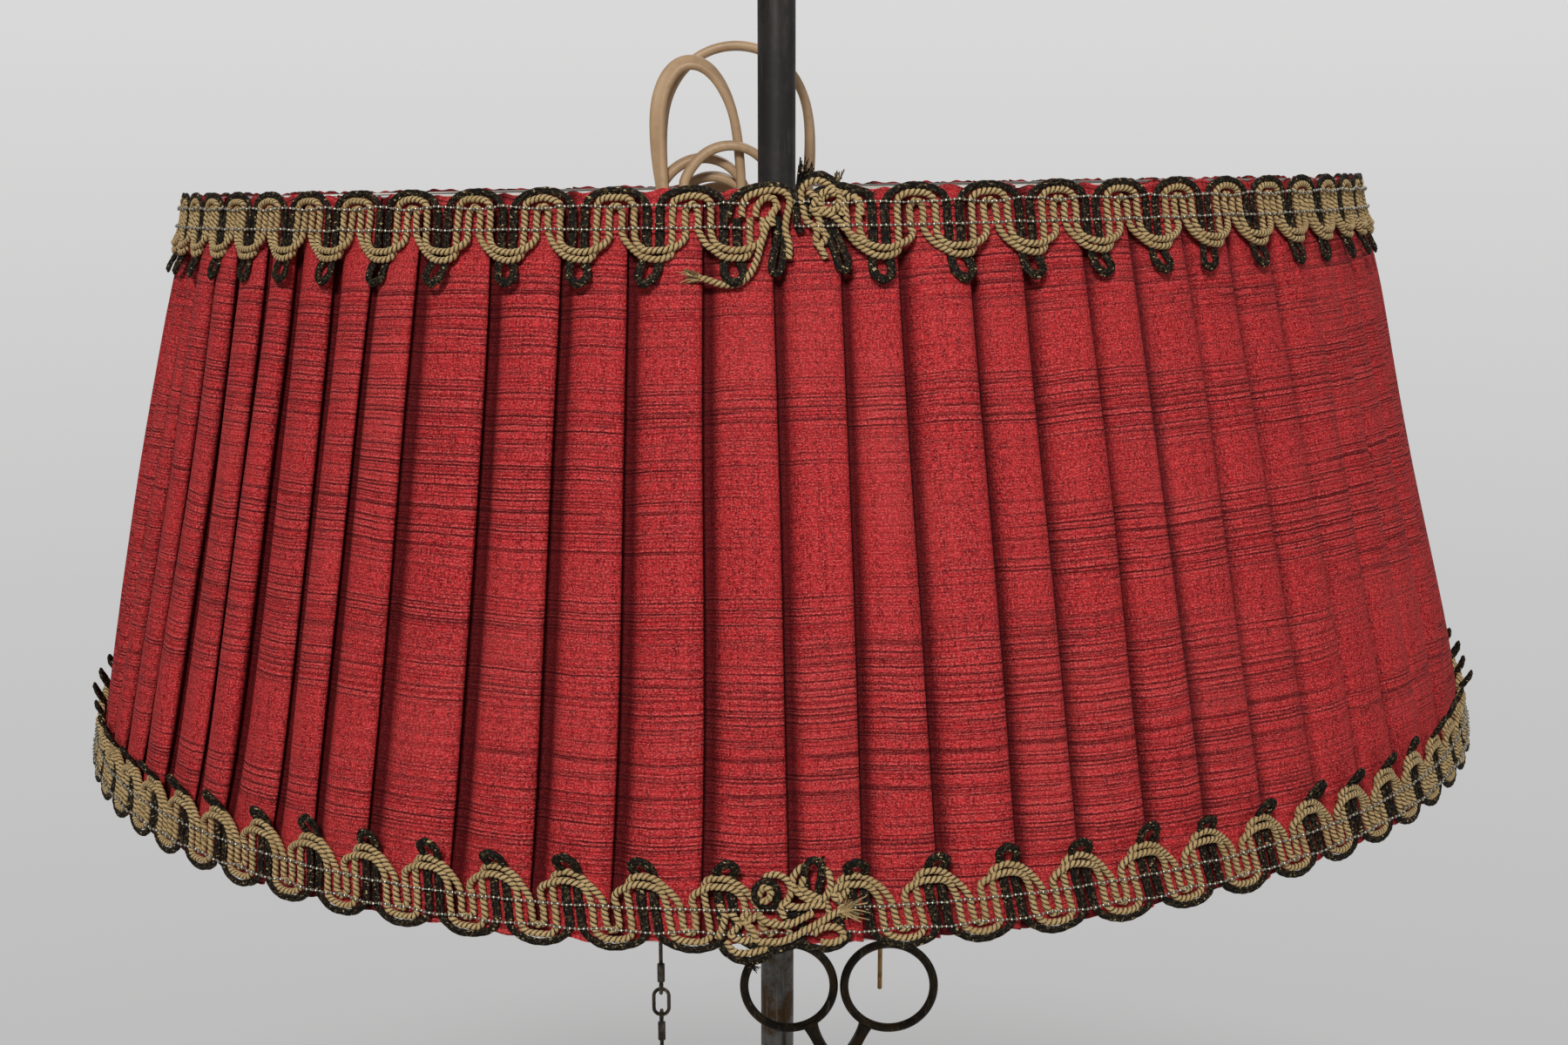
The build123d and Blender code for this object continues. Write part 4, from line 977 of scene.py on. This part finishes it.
felt = plain_finish("green felt", tint(66, 84, 58), tint(38, 52, 36), 0.95, 1800, 0.4 * mm,
                    Sheen_Weight=0.5)
bakelite = plain_finish("bakelite", tint(44, 30, 24), tint(26, 18, 15), 0.32, 600, 0.03 * mm)
rubber = plain_finish("rubber bush", tint(38, 35, 33), tint(26, 24, 23), 0.6, 900, 0.05 * mm)
plug_cream = plain_finish("moulded plug", tint(190, 164, 128), tint(170, 142, 108), 0.42, 500, 0.05 * mm)
frosted = plain_finish("frosted bulb", tint(244, 242, 236), tint(230, 228, 220), 0.35, 700, 0.02 * mm,
                       Transmission_Weight=0.0, Subsurface_Weight=0.15)

# %% Which part wears which finish
wears = {
    aged_brass: ["foot", "stem", "font_body", "font_lid", "font_beak", "ring_handle", "finial_knob"],
    bright_brass: ["foot_nut", "font_stop_collar", "set_collar", "thumb_screw", "spider_hub",
                   "spider_nut", "tool_disc", "hang_rings", "scissors_rest", "switch_knob",
                   "bulb_cap", "cluster_cap"],
    rod_black: ["upper_rod"],
    tarnished: ["lower_rod"],
    dark_steel: ["scissors_half", "scissors_screw"],
    chain_steel: ["chain", "wick_hook"],
    pick_brass: ["wick_pick"],
    plated: ["shade_top_ring", "shade_bottom_ring", "shade_rib", "spider_arm"],
    cast_iron: ["foot_weight"],
    box_metal: ["cluster_box"],
    pin_brass: ["plug_pins"],
    felt: ["foot_felt"],
    bakelite: ["socket"],
    rubber: ["cord_bushing"],
    plug_cream: ["plug_body"],
    frosted: ["bulb"],
    silk: ["pleated_cover"],
    linen: ["lining"],
    beige_yarn: ["top_braid", "bottom_braid"],
    flex: ["cord_lead", "cord_coil"],
}
dressed = {}
for finish, starts in wears.items():
    for start in sorted(starts, key=len):
        for name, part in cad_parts.items():
            if name.startswith(start) and len(start) > len(dressed.get(name, "")):
                dressed[name] = start
                part.data.materials.clear()
                part.data.materials.append(finish.material)
print("bare parts:", sorted(set(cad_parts) - set(dressed)))

# %% [markdown]
# ## Light, floor and background
# One large soft key stands high on the left in front, a broad dim fill on the right, and a pale
# world closes the rest, as in a studio with a rolled paper backdrop.  The floor is a pale disc
# that melts into the world, so no horizon shows behind the lamp.

# %% Lights
def area_light(name, position, aim, size, watts, colour=(1, 1, 1)):
    data = bpy.data.lights.new(name, "AREA")
    data.shape = "DISK"
    data.size = size
    data.energy = watts
    data.color = colour
    light = bpy.data.objects.new(name, data)
    bpy.context.scene.collection.objects.link(light)
    way = Vector(aim) - Vector(position)
    light.matrix_world = Matrix.Translation(position) @ way.to_track_quat("-Z", "Y").to_matrix().to_4x4()


shade_middle = (0, 0, (rim_z + edge_z) / 2)
area_light("key", (-0.22, -1.45, 1.50), shade_middle, 0.35, 18)
area_light("fill", (1.5, -1.0, 0.9), shade_middle, 1.2, 3)
area_light("back", (0.6, 1.4, 1.9), shade_middle, 1.0, 8)

# %% World
# The backdrop is lit by itself, so it looks brighter than the light that it sends to the lamp.
world = bpy.data.worlds.new("studio")
world.use_nodes = True
bpy.context.scene.world = world
tree = world.node_tree


def world_node(kind, **sockets):
    made = tree.nodes.new("ShaderNode" + kind)
    for name, fed in sockets.items():
        if isinstance(fed, (int, float)):
            made.inputs[int(name[1:])].default_value = fed
        else:
            tree.links.new(fed, made.inputs[int(name[1:])])
    return made


upwards = world_node("SeparateXYZ", i0=tree.nodes.new("ShaderNodeTexCoord").outputs["Generated"])
spread = world_node("MapRange", i0=upwards.outputs["Z"], i1=-0.6, i2=0.4)
ramp = world_node("ValToRGB", i0=spread.outputs[0])
ramp.color_ramp.elements.new(0.4)
for element, (spot, light) in zip(ramp.color_ramp.elements, [(0.0, 0.47), (0.4, 0.58), (0.85, 0.77)]):
    element.position = spot
    element.color = (light, light * 0.99, light * 0.99, 1)
seen = tree.nodes.new("ShaderNodeLightPath").outputs["Is Camera Ray"]
strength = world_node("MapRange", i0=seen, i3=0.42, i4=1.0)
tree.links.new(ramp.outputs[0], tree.nodes["Background"].inputs[0])
tree.links.new(strength.outputs[0], tree.nodes["Background"].inputs[1])

# %% Floor
floor_finish = Finish("floor", Roughness=0.9, Specular_IOR_Level=0.1)
place = floor_finish.place()
reach = floor_finish.node("VectorMath", {"operation": "LENGTH"}, {0: place}, output=1)
grain = floor_finish.noise(place, 240, 3)
floor_finish.set("Base Color", floor_finish.blend(grain, tint(214, 214, 213), tint(220, 220, 219)))
floor_finish.set("Alpha", 1 - reach.above(0.68, 0.46))
floor_finish.bump(grain, 0.1, 0.2 * mm)
rings = np.linspace(0.001, 0.95, 40)
turn = np.linspace(0, 2 * pi, 97)[:-1]
flat_x, flat_y = rings[:, None] * np.cos(turn), rings[:, None] * np.sin(turn)
disc = np.stack([flat_x, flat_y, np.full(flat_x.shape, -0.0005)], axis=-1)
floor_mesh = bpy.data.meshes.new("floor")
floor_faces = grid_faces(len(rings), len(turn))[:, ::-1]
floor_mesh.from_pydata(disc.reshape(-1, 3).tolist(), [], floor_faces.tolist())
floor_mesh.materials.append(floor_finish.material)
floor = bpy.data.objects.new("floor", floor_mesh)
bpy.context.scene.collection.objects.link(floor)
floor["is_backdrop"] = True

# %% Colours as they are
bpy.context.scene.view_settings.view_transform = "Standard"
bpy.context.scene.view_settings.look = "None"

# %% The sizes of what is drawn
low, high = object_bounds()
print("visual box", [round(v, 4) for v in (*low, *high)])
